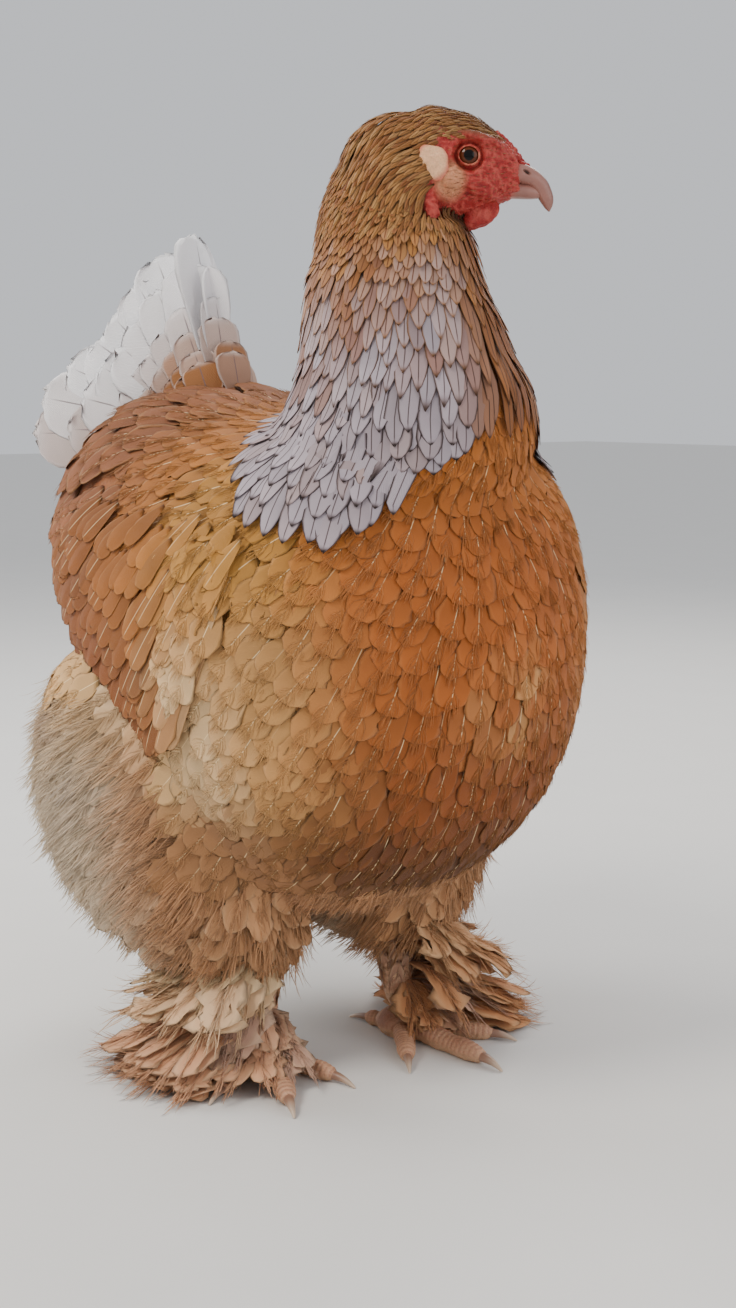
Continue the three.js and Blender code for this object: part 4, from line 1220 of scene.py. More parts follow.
def clear_of_torso(p, clearance):
    """The places, with those that lie in the body moved out to a clearance above it."""
    t = body_share(p[:, 0])
    row = torso.row(t)
    around = np.maximum(torso.rounding(np.clip(t, 0, 1)), 1e-3)
    rise = p[:, 2] - row[:, 2]
    power = 2 / torso.square
    wide = row[:, 3] * around
    tall = np.where(rise > 0, row[:, 4], row[:, 5]) * around
    fill = ((np.abs(p[:, 1]) / wide) ** power + (np.abs(rise) / tall) ** power) ** (1 / power)
    reach = np.hypot(p[:, 1], rise) / np.maximum(fill, 1e-6)
    wanted = (reach + clearance) / np.maximum(reach, 1e-6)
    inside = (t > 0) & (t < 1) & (fill < wanted)
    factor = np.where(inside, wanted / np.maximum(fill, 1e-6), 1.0)
    return np.stack([p[:, 0], p[:, 1] * factor, row[:, 2] + rise * factor], -1)


def front_share(angle):
    """1 at the throat and 0 at the nape."""
    return 1 - np.arccos(np.clip(-np.sin(angle), -1, 1)) / math.pi


def hackle_base(angle, down):
    """The place a hackle feather lies over, round the neck and down from the head."""
    over = np.maximum(down - NECK_LENGTH, 0)
    point = neck.point(mix(1, SHOULDER_T, np.clip(down / NECK_LENGTH, 0, 1)), angle)
    side, up = neck.frame(np.full(len(down), SHOULDER_T))
    away = side * np.cos(angle)[:, None] + up * np.sin(angle)[:, None]
    point = point + away * (over * 0.55)[:, None] - Z * (over * 0.8)[:, None]
    return clear_of_torso(point, HACKLE_OUT)


def hackle_normal(angle, down):
    along = hackle_base(angle, down + 1) - hackle_base(angle, down - 1)
    around = hackle_base(angle + 0.03, down) - hackle_base(angle - 0.03, down)
    return unit(np.cross(along, around))


def on_face(p):
    x, y, z = to_head(p).T
    return (x > np.where(z < -12, -23, -13)) & (z > -40) & (z < 12) & (x < 34) & (y < 21)


rng = np.random.default_rng(500)
angle, share = rng.uniform(0, 2 * math.pi, 60000), rng.uniform(0.17, 1.0, 60000)
tip = share * (NECK_LENGTH + cape_length(180 * (1 - front_share(angle)))[:, 0])
girth = from_neck(hackle_base(angle, tip))
gaps = mix(2.7, 8.2, np.clip((share - 0.18) / 0.62, 0, 1) ** 1.2)
kept = spread_out(np.stack([girth * np.cos(angle), girth * np.sin(angle), tip * 0.62], -1), gaps)
angle, share, tip, gaps = angle[kept], share[kept], tip[kept], gaps[kept]
count, front = len(angle), front_share(angle)
length = gaps * rng.uniform(4.7, 5.6, count)
down = np.maximum(tip[:, None] - length[:, None] * (1 - H_STATIONS[None]), 0.5 + H_STATIONS[None])
angles = angle[:, None] + rng.normal(0, 0.012, (count, 1)) * H_STATIONS[None]
line = hackle_base(angles.ravel(), down.ravel())
normal = hackle_normal(angles.ravel(), down.ravel()).reshape(count, -1, 3)
under, outward = ground.snap(line)
toward = ramp(front, 0.5, 0.7)[:, None]
drawn_in = mix(0.9, 1.0, toward) * ramp(down - NECK_LENGTH, mix(4, -26, toward), mix(26, -4, toward))
drawn_in = drawn_in[..., None]
line = mix(line.reshape(normal.shape), (under + outward * HACKLE_OUT).reshape(normal.shape), drawn_in)
normal = unit(mix(normal, outward.reshape(normal.shape), drawn_in))
over = ramp(down, NECK_LENGTH - 25, NECK_LENGTH + 10)
lift = mix(mix(-2.6, -1.2, over), 0.5, H_STATIONS[None] ** 0.8)
lift = lift + rng.uniform(-0.2, 0.8, (count, 1)) * H_STATIONS[None] ** 2
half = gaps * 0.74 * rng.uniform(0.88, 1.12, count) * mix(1.0, 0.62, ramp(front, 0.78, 0.92))
look = hackle_look(line[:, -1], tip, front)
feathers = Feathers(line, normal, H_STATIONS, half, lift, look, unwrap_neck(angle, tip))
covered = ~on_face(line[:, -1])
for name, chosen in (("upper", (share < 0.6) & covered), ("lower", (share >= 0.6) & covered)):
    coat = Coat()
    coat.vanes(feathers.where(chosen), "hackle", 600, cup=0.08, ridge=0.1, jag=0.03, roll=0.05, thick=0.14)
    coat.piece(f"hackle_{name}", HACKLE, ["neck"])

# Wings

W_STATIONS = np.array([0, 0.15, 0.3, 0.45, 0.6, 0.72, 0.82, 0.9, 0.96, 1.0])
WING_TIERS = table(
    "up    length count root tip first last half",
    (0.00, 92, 19, 4.0, 4.6, 0.26, 0.99, 8.5),
    (0.13, 76, 19, 4.6, 6.2, 0.20, 0.94, 8.0),
    (0.26, 62, 19, 5.4, 7.6, 0.15, 0.88, 7.5),
    (0.39, 50, 18, 6.0, 8.8, 0.11, 0.83, 7.0),
    (0.52, 42, 18, 6.4, 9.6, 0.08, 0.80, 6.5),
    (0.65, 36, 17, 6.4, 9.8, 0.07, 0.78, 6.0),
    (0.78, 30, 16, 5.0, 9.2, 0.07, 0.76, 6.0),
)
for name, side in SIDES.items():
    coat = Coat()
    for row, tier in enumerate(WING_TIERS):
        rng = np.random.default_rng(700 + row)
        count = tier["count"]
        share = np.linspace(tier["first"], tier["last"], count)
        edges = wing_edges(share)
        slope = wing_slope(share)[:, None]
        end_x = mix(WING_FRONT, WING_REAR, share)[:, None] + rng.normal(0, 2.8, (count, 1))
        end_z = mix(edges[:, 0], edges[:, 1], tier["up"])[:, None] + rng.normal(0, 3.2, (count, 1))
        back = (tier["length"] * mix(0.72, 1.1, share))[:, None] * (1 - W_STATIONS[None])
        x = end_x + back * np.cos(slope)
        z = np.minimum(end_z + back * np.sin(slope), edges[:, 1:2] + 2)
        height = mix(tier["root"], tier["tip"], W_STATIONS[None]) + (np.arange(count) % 2)[:, None] * 0.4
        height = height * mix(0.5, 1.0, ramp(share, 0.1, 0.35))[:, None]
        line, normal = (found.reshape(count, -1, 3) for found in on_side(side, x.ravel(), z.ravel(), 0.0))
        half = tier["half"] * rng.uniform(0.9, 1.1, count)
        tips = line[:, -1]
        low_rear = ramp(tips[:, 0], 30, -70) * 0.6 + ramp(tips[:, 2], 270, 200) * 0.4
        body = body_look(tips)[0][:, :3]
        base = blended(GOLD * 0.76, (DEEP * 0.72, low_rear), (body, ramp(share, 0.4, 0.12) * 0.9))
        base = base * (1 + rng.normal(0, 0.1, count))[:, None]
        shaft_strength = np.where(rng.random(count) < 0.5, 0.6, 0.0)
        look = look_of(base, blended(base * 1.3, (PALE, 0.2)), 0.45, SHAFT_PALE, shaft_strength)
        feathers = Feathers(line, normal, W_STATIONS, half, height, look, unwrap(tips))
        coat.vanes(feathers, "long", 710 + row, columns=6, cup=0.12, thick=0.2, ridge=0.12,
                   jag=0.05, roll=0.03)
    coat.piece(f"wing_feathers_{name}", FEATHER, [f"wing_{name}"])

# Tail

tail_length = through([[0, 120], [0.3, 104], [0.55, 96], [0.8, 106], [1, 116]])
TAIL_WIDEST = math.radians(88)


def tail_direction(fan):
    spread = np.abs(fan)
    up = np.array([-math.cos(TAIL_RISE), 0, math.sin(TAIL_RISE)])
    across = np.outer(np.where(fan < 0, -1.0, 1.0) * np.sin(spread) * 0.82, Y)
    lean = np.stack([-0.62 * np.sin(spread), np.zeros_like(spread), -0.1 * np.sin(spread)], -1)
    return unit(np.outer(np.cos(spread), up) + across + lean)


def tail_frame(fan):
    """The directions along and out of feathers at angles round the fan."""
    direction = tail_direction(fan)
    across = unit(tail_direction(fan + 0.02) - tail_direction(fan - 0.02))
    normal = np.cross(direction, across)
    return direction, np.where(normal[:, :1] < 0, -normal, normal)


T_STATIONS = np.array([0, 0.12, 0.24, 0.36, 0.48, 0.6, 0.7, 0.79, 0.87, 0.93, 0.97, 1.0])
TAIL_TIERS = table(
    "count step share lift half tint",
    (15, 12.0, 1.00, 0.0, 22.0, 0.00),
    (14, 12.5, 0.84, 4.0, 19.0, 0.06),
    (15, 12.0, 0.66, 7.5, 14.0, 0.40),
    (13, 12.0, 0.54, 12.0, 13.0, 1.0),
    (11, 12.0, 0.44, 17.0, 12.5, 1.3),
    (9, 12.0, 0.36, 22.0, 12.0, 1.3),
    (12, 13.0, 0.74, -4.0, 14.0, 0.1),
    (11, 12.5, 0.52, -6.0, 12.0, 0.6),
)
coat = Coat()
for row, tier in enumerate(TAIL_TIERS):
    rng = np.random.default_rng(800 + row)
    count = tier["count"]
    place = np.arange(count) - (count - 1) / 2
    fan = np.radians(place * tier["step"]) + rng.normal(0, 0.015, count) + 1e-4
    direction, normal = tail_frame(fan)
    reach = tail_length(np.abs(fan) / TAIL_WIDEST)[:, 0] * tier["share"] * rng.uniform(0.96, 1.03, count)
    layer = -1.1 * (2 * np.abs(place) - (place > 0)) * 0.7 + tier["lift"] * np.cos(fan) ** 0.7
    run = mix(4.0, reach[:, None], T_STATIONS[None])
    sag = -5 * T_STATIONS[None] ** 2 + (2.0 if tier["lift"] > 0 else -1.0) * T_STATIONS[None] ** 3
    height = (layer[:, None] + sag)[..., None]
    line = TAIL_ROOT + direction[:, None] * run[..., None] + normal[:, None] * height
    brown = np.clip(tier["tint"] * rng.uniform(0.6, 1.0, count) + 0.5 * ramp(np.abs(fan), 1.1, 1.5), 0, 1)
    base = blended(WHITE, (blended(CUSHION, (PALE, 0.2)), brown))
    base = base * (1 + rng.normal(0, 0.03, count))[:, None]
    look = look_of(base, blended(base, (WHITE, 0.6)), 0.4, TAIL_SHAFT, 0.8)
    half = tier["half"] * rng.uniform(0.92, 1.08, count)
    spot = np.stack([0.5 + fan / (2.2 * math.pi), np.full(count, 0.1 + 0.13 * row)], -1)
    normals = np.repeat(normal[:, None], len(T_STATIONS), 1)
    feathers = Feathers(line, normals, T_STATIONS, half, np.zeros(run.shape), look, spot)
    coat.vanes(feathers, "fan", 810 + row, columns=8, cup=0.1, thick=0.3, jag=0.04, roll=0.06)
coat.piece("tail_feathers", TAIL, ["tail"])

# Feet

TOES = table(
    "name spread length thick",
    ("inner", 38, 50, 0.9),
    ("middle", 0, 68, 1.0),
    ("outer", -36, 54, 0.9),
    ("hind", 172, 26, 0.8),
)
TOE_ROWS = [
    (0, 1.25, 1.1),
    (0.3, 1, 1),
    (0.45, 1.08, 0.95),
    (0.6, 0.92, 0.85),
    (0.78, 0.98, 0.85),
    (1, 0.62, 0.75),
]
CLAW_ROWS = [(0, -0.4, 0.5, 0.85), (0.35, 0.05, 0.46, 0.85), (0.7, 0.55, 0.3, 0.62), (1, 1, 0.1, 0.16)]
SCUTE, LEG_SCALE, SCUTE_HIGH = 3.3, 4.2, 0.55


def toe_form(foot, ahead, left, toe):
    radius = TOE_RADIUS * toe["thick"]
    rows = []
    for t, swell, height in TOE_ROWS:
        at = foot + ahead * t * toe["length"]
        rows.append([t, at[0], at[1], height * radius] + [swell * radius] * 3)
    return Form(rows, left=left, caps=(0.05, 0.1), square=0.95)


def claw_form(foot, ahead, left, toe):
    radius = TOE_RADIUS * toe["thick"]
    rows = []
    for t, past, size, height in CLAW_ROWS:
        at = foot + ahead * (toe["length"] + past * CLAW)
        rows.append([t, at[0], at[1], height * radius] + [size * radius] * 3)
    return Form(rows, left=left, caps=(0.03, 0.06), square=1)


def scale_height(along, length):
    """The height of overlapping scales of a length, at places along them."""
    band = (along / length) % 1
    return SCUTE_HIGH * np.minimum(band / 0.75, (1 - band) / 0.25)


for name, side in SIDES.items():
    foot, toe_out = FEET[name]
    lines = []
    for toe in TOES:
        heading = math.radians(toe_out - side * toe["spread"])
        ahead = np.array([math.cos(heading), math.sin(heading), 0])
        lines.append((foot, ahead, np.array([-ahead[1], ahead[0], 0])))
    parts = [shank(foot, 0.72).mesh(40, 40), ellipsoid([foot[0], foot[1], 6], [15, 13, 9])]
    parts += [toe_form(*line, toe).mesh(28, 40) for line, toe in zip(lines, TOES)]
    skin = fused(f"foot_skin_{name}", parts, 0.95, 5)
    p, normal = points_of(skin), normals_of(skin)
    scute = np.zeros(len(p))
    top = ramp(normal[:, 2], -0.35, 0.2)
    nearest = np.full(len(p), 1e9)
    for (_, ahead, left), toe in zip(lines, TOES):
        along = (p - foot) @ ahead
        off = np.abs((p - foot) @ left)
        mine = (off < nearest) & (along > 8) & (along < toe["length"] + 6)
        nearest = np.where(mine, off, nearest)
        scute = np.where(mine, scale_height(along, SCUTE * toe["thick"]), scute)
    leg_scales = scale_height(p[:, 2] + 1.5 * np.abs(p[:, 1] - foot[1]), LEG_SCALE)
    scute = mix(scute * top, leg_scales, ramp(p[:, 2], 14, 20))
    pads = (1 - top) * 0.35 * noise(p, 1.6, 4)
    p = p + normal * (scute + pads)[:, None]
    p[:, 2] = np.maximum(p[:, 2], SOLE_GAP)
    set_points(skin, p)
    tint = blended(
        TOE_PINK,
        (TOE_DEEP, ramp(0.35 - scute, 0, 0.35) * 0.7),
        (TOE_DEEP, 0.5 * ramp(noise(p, 9, 6), 0.1, 0.7)),
        (CREAM, (1 - top) * 0.3),
    )
    add_painted(f"foot_skin_{name}", skin, tint, SCALE, [f"foot_{name}", f"shank_{name}"])
    for toe, line in zip(TOES, lines):
        points, faces = claw_form(*line, toe).mesh(24, 24)
        points[:, 2] = np.maximum(points[:, 2] - 0.5, SOLE_GAP)
        claw = f"claw_{name}_{toe['name']}"
        far = ramp((points - foot) @ line[1], toe["length"], toe["length"] + CLAW)
        tint = blended(CLAW_ROOT, (CLAW_TIP, far * 0.8))
        add_painted(f"horn_{claw}", build_mesh(claw, points, faces), tint, HORN, [claw])

# Foot and shank feathers

F_STATIONS = np.array([0, 0.16, 0.32, 0.46, 0.58, 0.7, 0.8, 0.88, 0.95, 1.0])
FOOT_TIERS = table(
    "count first last start length root tip half arch",
    (15, 72, 152, 6, 92, 8, 3.4, 9.5, 3),
    (15, 66, 156, 4, 95, 20, 8, 9.5, 6),
    (13, 62, 150, 3, 84, 31, 14, 9, 7),
    (11, 95, 170, 3, 84, 44, 34, 9.5, 6),
    (10, 40, 112, 2, 54, 42, 20, 8, 8),
    (9, 100, 172, 3, 66, 58, 50, 9, 5),
    (9, 36, 120, 2, 40, 56, 34, 7.5, 7),
    (9, 30, 120, 2, 48, 72, 50, 9, 6),
    (9, 48, 130, 3, 72, 62, 36, 9.5, 7),
    (9, 6, 78, 4, 60, 20, 9, 8, 5),
    (8, 0, 70, 3, 44, 32, 15, 7.5, 5),
)
FULLNESS = 1.9  # how many times a row's count of feathers the foot gets


def foot_look(base, shaft_strength):
    return look_of(base, blended(base, (CREAM, 0.5)), 0.5, base * 0.7, shaft_strength)


def foot_feathers(foot, side, tier, row):
    """One row of the fan of feathers that stand out from the foot."""
    rng = np.random.default_rng(900 + row)
    count = round(tier["count"] * FULLNESS)
    forward = 14 if side > 0 and tier["first"] > 30 else 0
    turned_to = np.linspace(tier["first"], tier["last"], count) - forward
    heading = np.radians(turned_to + rng.normal(0, 3.0, count)) * side
    ahead = np.stack([np.cos(heading), np.sin(heading), np.zeros(count)], -1)
    middle = np.abs(np.linspace(-1, 1, count))
    reach = tier["length"] * (1 - 0.2 * middle) * rng.uniform(0.72, 1.05, count)
    if side > 0 and tier["first"] < 30:
        reach = reach * 0.62
    sideways = np.maximum(np.abs(np.sin(heading)), 0.1)
    reach = np.minimum(reach, FOOT_REACH * rng.uniform(0.94, 1, count) / sideways)
    run = mix(tier["start"], reach[:, None], F_STATIONS[None])
    arch = tier["arch"] * np.sin(math.pi * F_STATIONS[None])
    drop = mix(tier["root"], tier["tip"], F_STATIONS[None]) + arch
    drop = np.maximum(drop + rng.normal(0, 1.8, (count, 1)) * F_STATIONS[None], 1.6)
    sweep = rng.normal(0, 6.0, (count, 1)) * F_STATIONS[None] ** 2
    across = np.stack([-ahead[:, 1], ahead[:, 0], np.zeros(count)], -1)
    line = foot - X * 2 + ahead[:, None] * run[..., None] + Z * drop[..., None]
    line = line + across[:, None] * sweep[..., None]
    pale, lavender = ramp(drop[:, -1], 20, 50), ramp(noise(line[:, -1], 26, 2), 0.1, 0.6)
    gold_share, cream_share = (0.5, 0.3) if side > 0 else (0.08, 0.85)
    base = blended(FOOT, (GOLD, gold_share)) * 1.25
    base = blended(base, (CREAM, pale * cream_share), (LAVENDER, lavender * 0.45))
    look = foot_look(base * (1 + rng.normal(0, 0.08, count))[:, None], 0.35)
    half = tier["half"] * rng.uniform(0.8, 1.12, count)
    spot = np.stack([0.1 + 0.8 * np.arange(count) / count, np.full(count, 0.04 + 0.075 * row)], -1)
    normals = np.tile(Z, (count, len(F_STATIONS), 1))
    return Feathers(line, normals, F_STATIONS, half, np.zeros(run.shape), look, spot)


def shank_feathers(foot, side):
    """Short feathers that hang down the outside of the shank."""
    surface = Surface(build_mesh("shank_ground", *shank(foot, 0.9).mesh(40, 40)))

    def outside(p, normal):
        return (p[:, 2] > 22) & ((normal[:, 1] * side > -0.3) | (p[:, 2] > (18 if side > 0 else 40)))

    def downward(p, normal):
        return unit(np.tile([-0.1, 0.0, -1.0], (len(p), 1)))

    roots = surface.scatter(4.4, outside, 71)
    count = len(roots)
    rng = np.random.default_rng(72)
    line, normal = surface.trace(roots, rng.uniform(20, 30, count), downward, F_STATIONS)
    lift = mix(-1.0, 6.0, F_STATIONS[None]) + rng.uniform(0, 5.0, (count, 1)) * F_STATIONS[None]
    base = blended(FOOT, (LAVENDER, rng.uniform(0, 0.5, count)), (GOLD, 0.3 * rng.random(count)))
    half = rng.uniform(3.6, 5.0, count)
    spot = np.stack([0.05 + 0.9 * rng.random(count), 0.9 + 0.09 * roots[:, 2] / 100], -1)
    return Feathers(line, normal, F_STATIONS, half, lift, foot_look(base, 0.3), spot)


for name, side in SIDES.items():
    foot = FEET[name][0]
    coat, strands = Coat(), Coat()
    for row, tier in enumerate(FOOT_TIERS):
        feathers = foot_feathers(foot, side, tier, row)
        coat.vanes(feathers, "fan", 910 + row, cup=0.1, jag=0.4, thick=0.1, roll=0.14)
        strands.down(feathers, 930 + row, barbs=33, wide=1.5, raised=0.5, thick=0.27, curl=0.4, first=0.3,
                     spread=(36, 4), span=(1.1, 1.2))
    feathers = shank_feathers(foot, side)
    coat.vanes(feathers, "round", 73, jag=0.14, thick=0.25)
    strands.down(feathers, 74, barbs=16, wide=2.2, raised=0.3, thick=0.2, first=0.2, spread=(40, 8))
    coat.piece(f"foot_feathers_{name}", SOFT, [f"foot_{name}", f"shank_{name}"])
    strands.piece(f"foot_down_{name}", SOFT, [f"foot_{name}", f"shank_{name}"])

# Head

skull = Form(
    [
        [0, -38, 0, -8, 15, 16, 24],
        [0.2, -24, 0, -7, 19.5, 30, 28],
        [0.42, -10, 0, -6, 19.5, 29.4, 27],
        [0.62, 3, 0, -6, 17.6, 27, 23],
        [0.78, 14, 0, -6, 14, 20.6, 17.5],
        [0.9, 22, 0, -6, 10.5, 15, 13],
        [1, 29.5, 0, -6, 7.5, 7.5, 9],
    ],
    caps=(0.14, 0.07),
    square=0.95,
)


def on_head(part):
    points, faces = part
    return from_head(points), faces


face_parts = [skull.mesh(72, 60)]
for side in SIDES.values():
    for at, sizes, turn in (
        ([22, side * 6.2, -11.4], [7, 3, 3], (0, 12, 0)),
        ([7, side * 13.2, -13], [11, 5.5, 6.5], (0, 24, side * -14)),
        ([6, side * 14.2, 9.4], [11, 3.4, 2.6], (0, 10, side * -16)),
        ([-17.5, side * 17.5, -26], [4.6, 5.0, 14.5], (side * 8, -20, 0)),
        ([-7, side * 17.2, -12], [7, 3.6, 7], (0, 20, 0)),
    ):
        face_parts.append(ellipsoid(at, sizes, euler(*turn)))
face = fused("face_skin", [on_head(part) for part in face_parts], 0.75, 6)
h, normal = to_head(points_of(face)), normals_of(face) @ HEAD_TURN
eye_away = np.hypot(h[:, 0], h[:, 2])
folds = 1 - np.abs(noise(h * [1.0, 1, 1.5], 3.4, 1))
folds = folds + 0.6 * (1 - np.abs(noise(h, 1.7, 2)))
bare = ramp(h[:, 0], -22, -12) * ramp(h[:, 2], 15, 9) * ramp(h[:, 2], -42, -34)
ring = np.sin(eye_away * 2.1) * ramp(eye_away, 14, 8)
h = h + normal * ((folds - 0.9) * 0.8 * bare + 0.28 * ring * bare)[:, None]
for side in SIDES.values():
    near = (np.sign(h[:, 1]) == side) & (eye_away < 9.5) & (np.abs(h[:, 1]) > 9)
    ball_y = EYE_INSET + np.sqrt(np.maximum(EYE_BALL**2 - eye_away**2, 0))
    socket = mix(ball_y - 2.2, ball_y + 0.6, ramp(eye_away, 4.2, 5.4))
    held = mix(socket, np.abs(h[:, 1]), ramp(eye_away, 6.0, 9.0))
    h[:, 1] = np.where(near, side * held, h[:, 1])
set_points(face, from_head(h))
sallow = ramp(np.hypot((h[:, 0] + 8) / 9, (h[:, 2] + 14) / 11), 1.15, 0.5)
feathered = np.maximum(ramp(h[:, 2], 8, 13), ramp(h[:, 0] + 8 * ramp(h[:, 2], -10, -18), -14, -22))
tint = blended(
    RED,
    (RED_PALE, ramp(folds, 0.9, 1.5) * 0.55),
    (RED_DEEP, ramp(folds, 0.8, 0.3) * 0.8),
    (BARE_PALE, sallow * 0.75),
    (HACKLE_BROWN * 0.6, feathered),
)
add_painted("face_skin", face, tint, FACE, ["head"])


def lid_ring(side, around=64, section=14):
    """Points and quads of the ring of skin round an eye, in the head's frame."""
    a, b = np.meshgrid(np.linspace(0, 2 * math.pi, around, endpoint=False),
                       np.linspace(0, 2 * math.pi, section, endpoint=False), indexing="ij")
    a, b = a.ravel(), b.ravel()
    reach = LID_TUBE * np.cos(b)
    at = np.array([0, side * LID_OUT, 0]) + np.outer(np.cos(a) * (LID_RADII[0] + reach), X)
    at = at + np.outer(np.sin(a) * (LID_RADII[1] + reach), Z)
    at = at + np.outer(LID_SWELL * np.sin(b), side * Y)
    grid = np.pad(np.arange(around * section).reshape(around, section), ((0, 1), (0, 1)), mode="wrap")
    quads = quads_of(grid, flipped=True)
    return at, [quads if side < 0 else quads[:, ::-1]]


def lobe_height(p):
    return 0.35 * noise(p, 2.4, 7) + 0.15 * noise(p, 1.0, 8)


def wattle_height(p):
    return 0.5 * (1 - np.abs(noise(p, 2.6, 9))) + 0.2 * noise(p, 1.0, 10) - 0.3


for name, side in SIDES.items():
    points, faces = lid_ring(side)
    points = points + noise(points, 0.9, 3)[:, None] * 0.12
    away_squared = points[:, 0] ** 2 + points[:, 2] ** 2
    bulge = EYE_INSET + np.sqrt(np.maximum((EYE_BALL + 0.1) ** 2 - away_squared, 0))
    points[:, 1] = points[:, 1] + side * np.minimum(bulge - LID_OUT, 1.2) * 0.7
    mesh = build_mesh(f"lid_{name}", from_head(points), faces)
    tint = blended(LID, (RED, ramp(noise(points, 1.5, 5), -0.2, 0.5) * 0.8))
    add_painted(f"lids_{name}", mesh, tint, FACE, ["head"])

    points, faces = ellipsoid([0, side * EYE_INSET, 0], [EYE_BALL] * 3, euler(0, 0, side * 90), 64, 40)
    mesh = build_mesh(f"eyeball_{name}", from_head(points), faces)
    away = np.arccos(np.clip((points[:, 1] * side - EYE_INSET) / EYE_BALL, -1, 1))
    lay_uv(mesh, "Eye", np.stack([np.clip(away / 1.2, 0, 1), np.full(len(points), 0.5)], -1))
    add_piece(f"eyeball_{name}", mesh, EYE, [f"eye_{name}"])

    lobe = fused(f"lobe_{name}", [
        on_head(ellipsoid([-18.5, side * 19.2, -5.0], [8.4, 2.8, 7.4], euler(0, -12, side * 6))),
        on_head(ellipsoid([-14.8, side * 19.2, -9.5], [5.2, 2.4, 6.0], euler(0, 30, side * 6))),
        on_head(ellipsoid([-21.5, side * 19.2, -1.5], [4.5, 2.4, 3.6], euler(0, 10, side * 6))),
    ], 0.6, 7)
    h = to_head(roughened(lobe, lobe_height))
    rim = ramp(np.hypot((h[:, 0] + 18.5) / 8.5, (h[:, 2] + 6) / 9.5), 0.72, 1.05)
    add_painted(f"lobe_{name}", lobe, blended(LOBE_PALE, (RED_PALE, rim * 0.75)), LOBE, [f"earlobe_{name}"])

    wattle = fused(f"wattle_skin_{name}", [
        on_head(ellipsoid([11, side * 6.2, -26], [9.6, 2.8, 6.8], euler(side * 6, -28, 0))),
        on_head(ellipsoid([8, side * 6.4, -30], [6.6, 2.4, 4.6], euler(side * 6, -28, 0))),
    ], 0.6, 4)
    p = roughened(wattle, wattle_height)
    tint = blended(RED, (RED_PALE, ramp(noise(p, 3, 11), -0.2, 0.7) * 0.6))
    add_painted(f"wattle_skin_{name}", wattle, tint, FACE, [f"wattle_{name}"])

# Comb

forehead = through([[4, 18.6], [14, 13.6], [22, 8.4], [30, 0.6]])
rng = np.random.default_rng(77)
bumps = []
for k in range(8):
    x = mix(14, 31, k / 7)
    top = forehead(x)[0, 0]
    at = [x, rng.normal(0, 0.3), top + 0.1]
    bumps.append(ellipsoid(at, [2.3, 1.7, 3.1 - 0.2 * k], around=20, along=12))
    for side in (1, -1):
        at = [x - 0.6 + rng.normal(0, 0.3), side * 3.2, top - 1.0 + rng.normal(0, 0.2)]
        bumps.append(ellipsoid(at, [2.1, 1.6, 2.4 - 0.15 * k], around=20, along=12))
comb = fused("comb_skin", [on_head(part) for part in bumps], 0.5, 3)
p = roughened(comb, lambda p: 0.25 * noise(p, 1.2, 12))
add_painted("comb_skin", comb, blended(RED, (RED_PALE, ramp(noise(p, 2, 13), 0, 0.8) * 0.6)), FACE, ["comb"])

# Beak

NOSTRIL_X, NOSTRIL_Z, NOSTRIL_SLOPE = 31.5, -3.2, 0.35
upper_beak = Form(
    [
        [0, 20, 0, -4, 8, 6, 5],
        [0.3, 29, 0, -4.6, 7, 6.3, 5],
        [0.55, 36, 0, -6.6, 5.2, 5.4, 4],
        [0.78, 41.3, 0, -11.4, 4.0, 4.9, 3.6],
        [0.92, 44.6, 0, -17, 2.6, 3.6, 2.4],
        [1, 46.4, 0, -21, 0.8, 0.9, 0.8],
    ],
    caps=(0.02, 0.05),
    square=0.95,
)
lower_beak = Form(
    [
        [0, 19, 0, -12.7, 7.4, 4, 4.8],
        [0.4, 29, 0, -12.6, 6, 4, 4],
        [0.75, 37, 0, -12.8, 4, 4, 2.9],
        [1, 43, 0, -13.4, 1.6, 2, 1],
    ],
    caps=(0.02, 0.1),
    square=0.95,
)


def nostrils(points):
    """How deep in a nostril each place is, from 0 to 1. The points are dented there and flared above."""
    past = points[:, 0] - NOSTRIL_X
    hole = np.hypot(past / 2.6, (points[:, 2] - NOSTRIL_Z + NOSTRIL_SLOPE * past) / 1.0)
    dent = ramp(hole, 1.0, 0.35) * (np.abs(points[:, 1]) > 3)
    points[:, 1] -= np.sign(points[:, 1]) * dent * 2.0
    flap = ramp(np.abs(hole - 1.3), 0.5, 0.0) * (points[:, 2] > -3.6)
    points[:, 1] += np.sign(points[:, 1]) * flap * 0.35
    return dent


points, faces = upper_beak.mesh(64, 60)
dent = nostrils(points)
ridge = ramp(np.abs(points[:, 1]), 3.4, 0.6) * ramp(points[:, 2], -22, -6)
upper_tint = blended(HORN_PINK, (HORN_DARK, ridge * 0.75), (HORN_DARK * 0.6, dent))
lower_points, lower_faces = lower_beak.mesh(64, 60)
for name, node, points, faces, tint in (
    ("beak_top", "beak_upper", points, faces, upper_tint),
    ("beak_bottom", "beak_lower", lower_points, lower_faces, HORN_PINK),
):
    tint = blended(tint, (RED_PALE, ramp(points[:, 0], 29, 24) * 0.7))
    add_painted(name, build_mesh(name, from_head(points), faces), tint, HORN, [node])

# Head feathers

nape = ellipsoid([-33, 0, -12], [32, 20, 31.5])
head_parts = [on_head(skull.mesh(72, 60)), on_head(nape), neck.mesh(60, 40)]
head_ground = Surface(fused("head_ground", head_parts, 1.6, 8))
face_ground = Surface(face)


def head_flow(p, normal):
    x, y, z = to_head(p).T
    way = np.stack([-np.ones(len(p)), 0.25 * np.sign(y), -0.25 - 0.5 * ramp(x, -8, -30)], -1)
    down_neck = np.maximum(ramp(x, -34, -56), ramp(z, -14, -34))
    return unit(mix(unit(way @ HEAD_TURN.T), np.array([-0.32, -0.14, -0.94]), down_neck[:, None]))


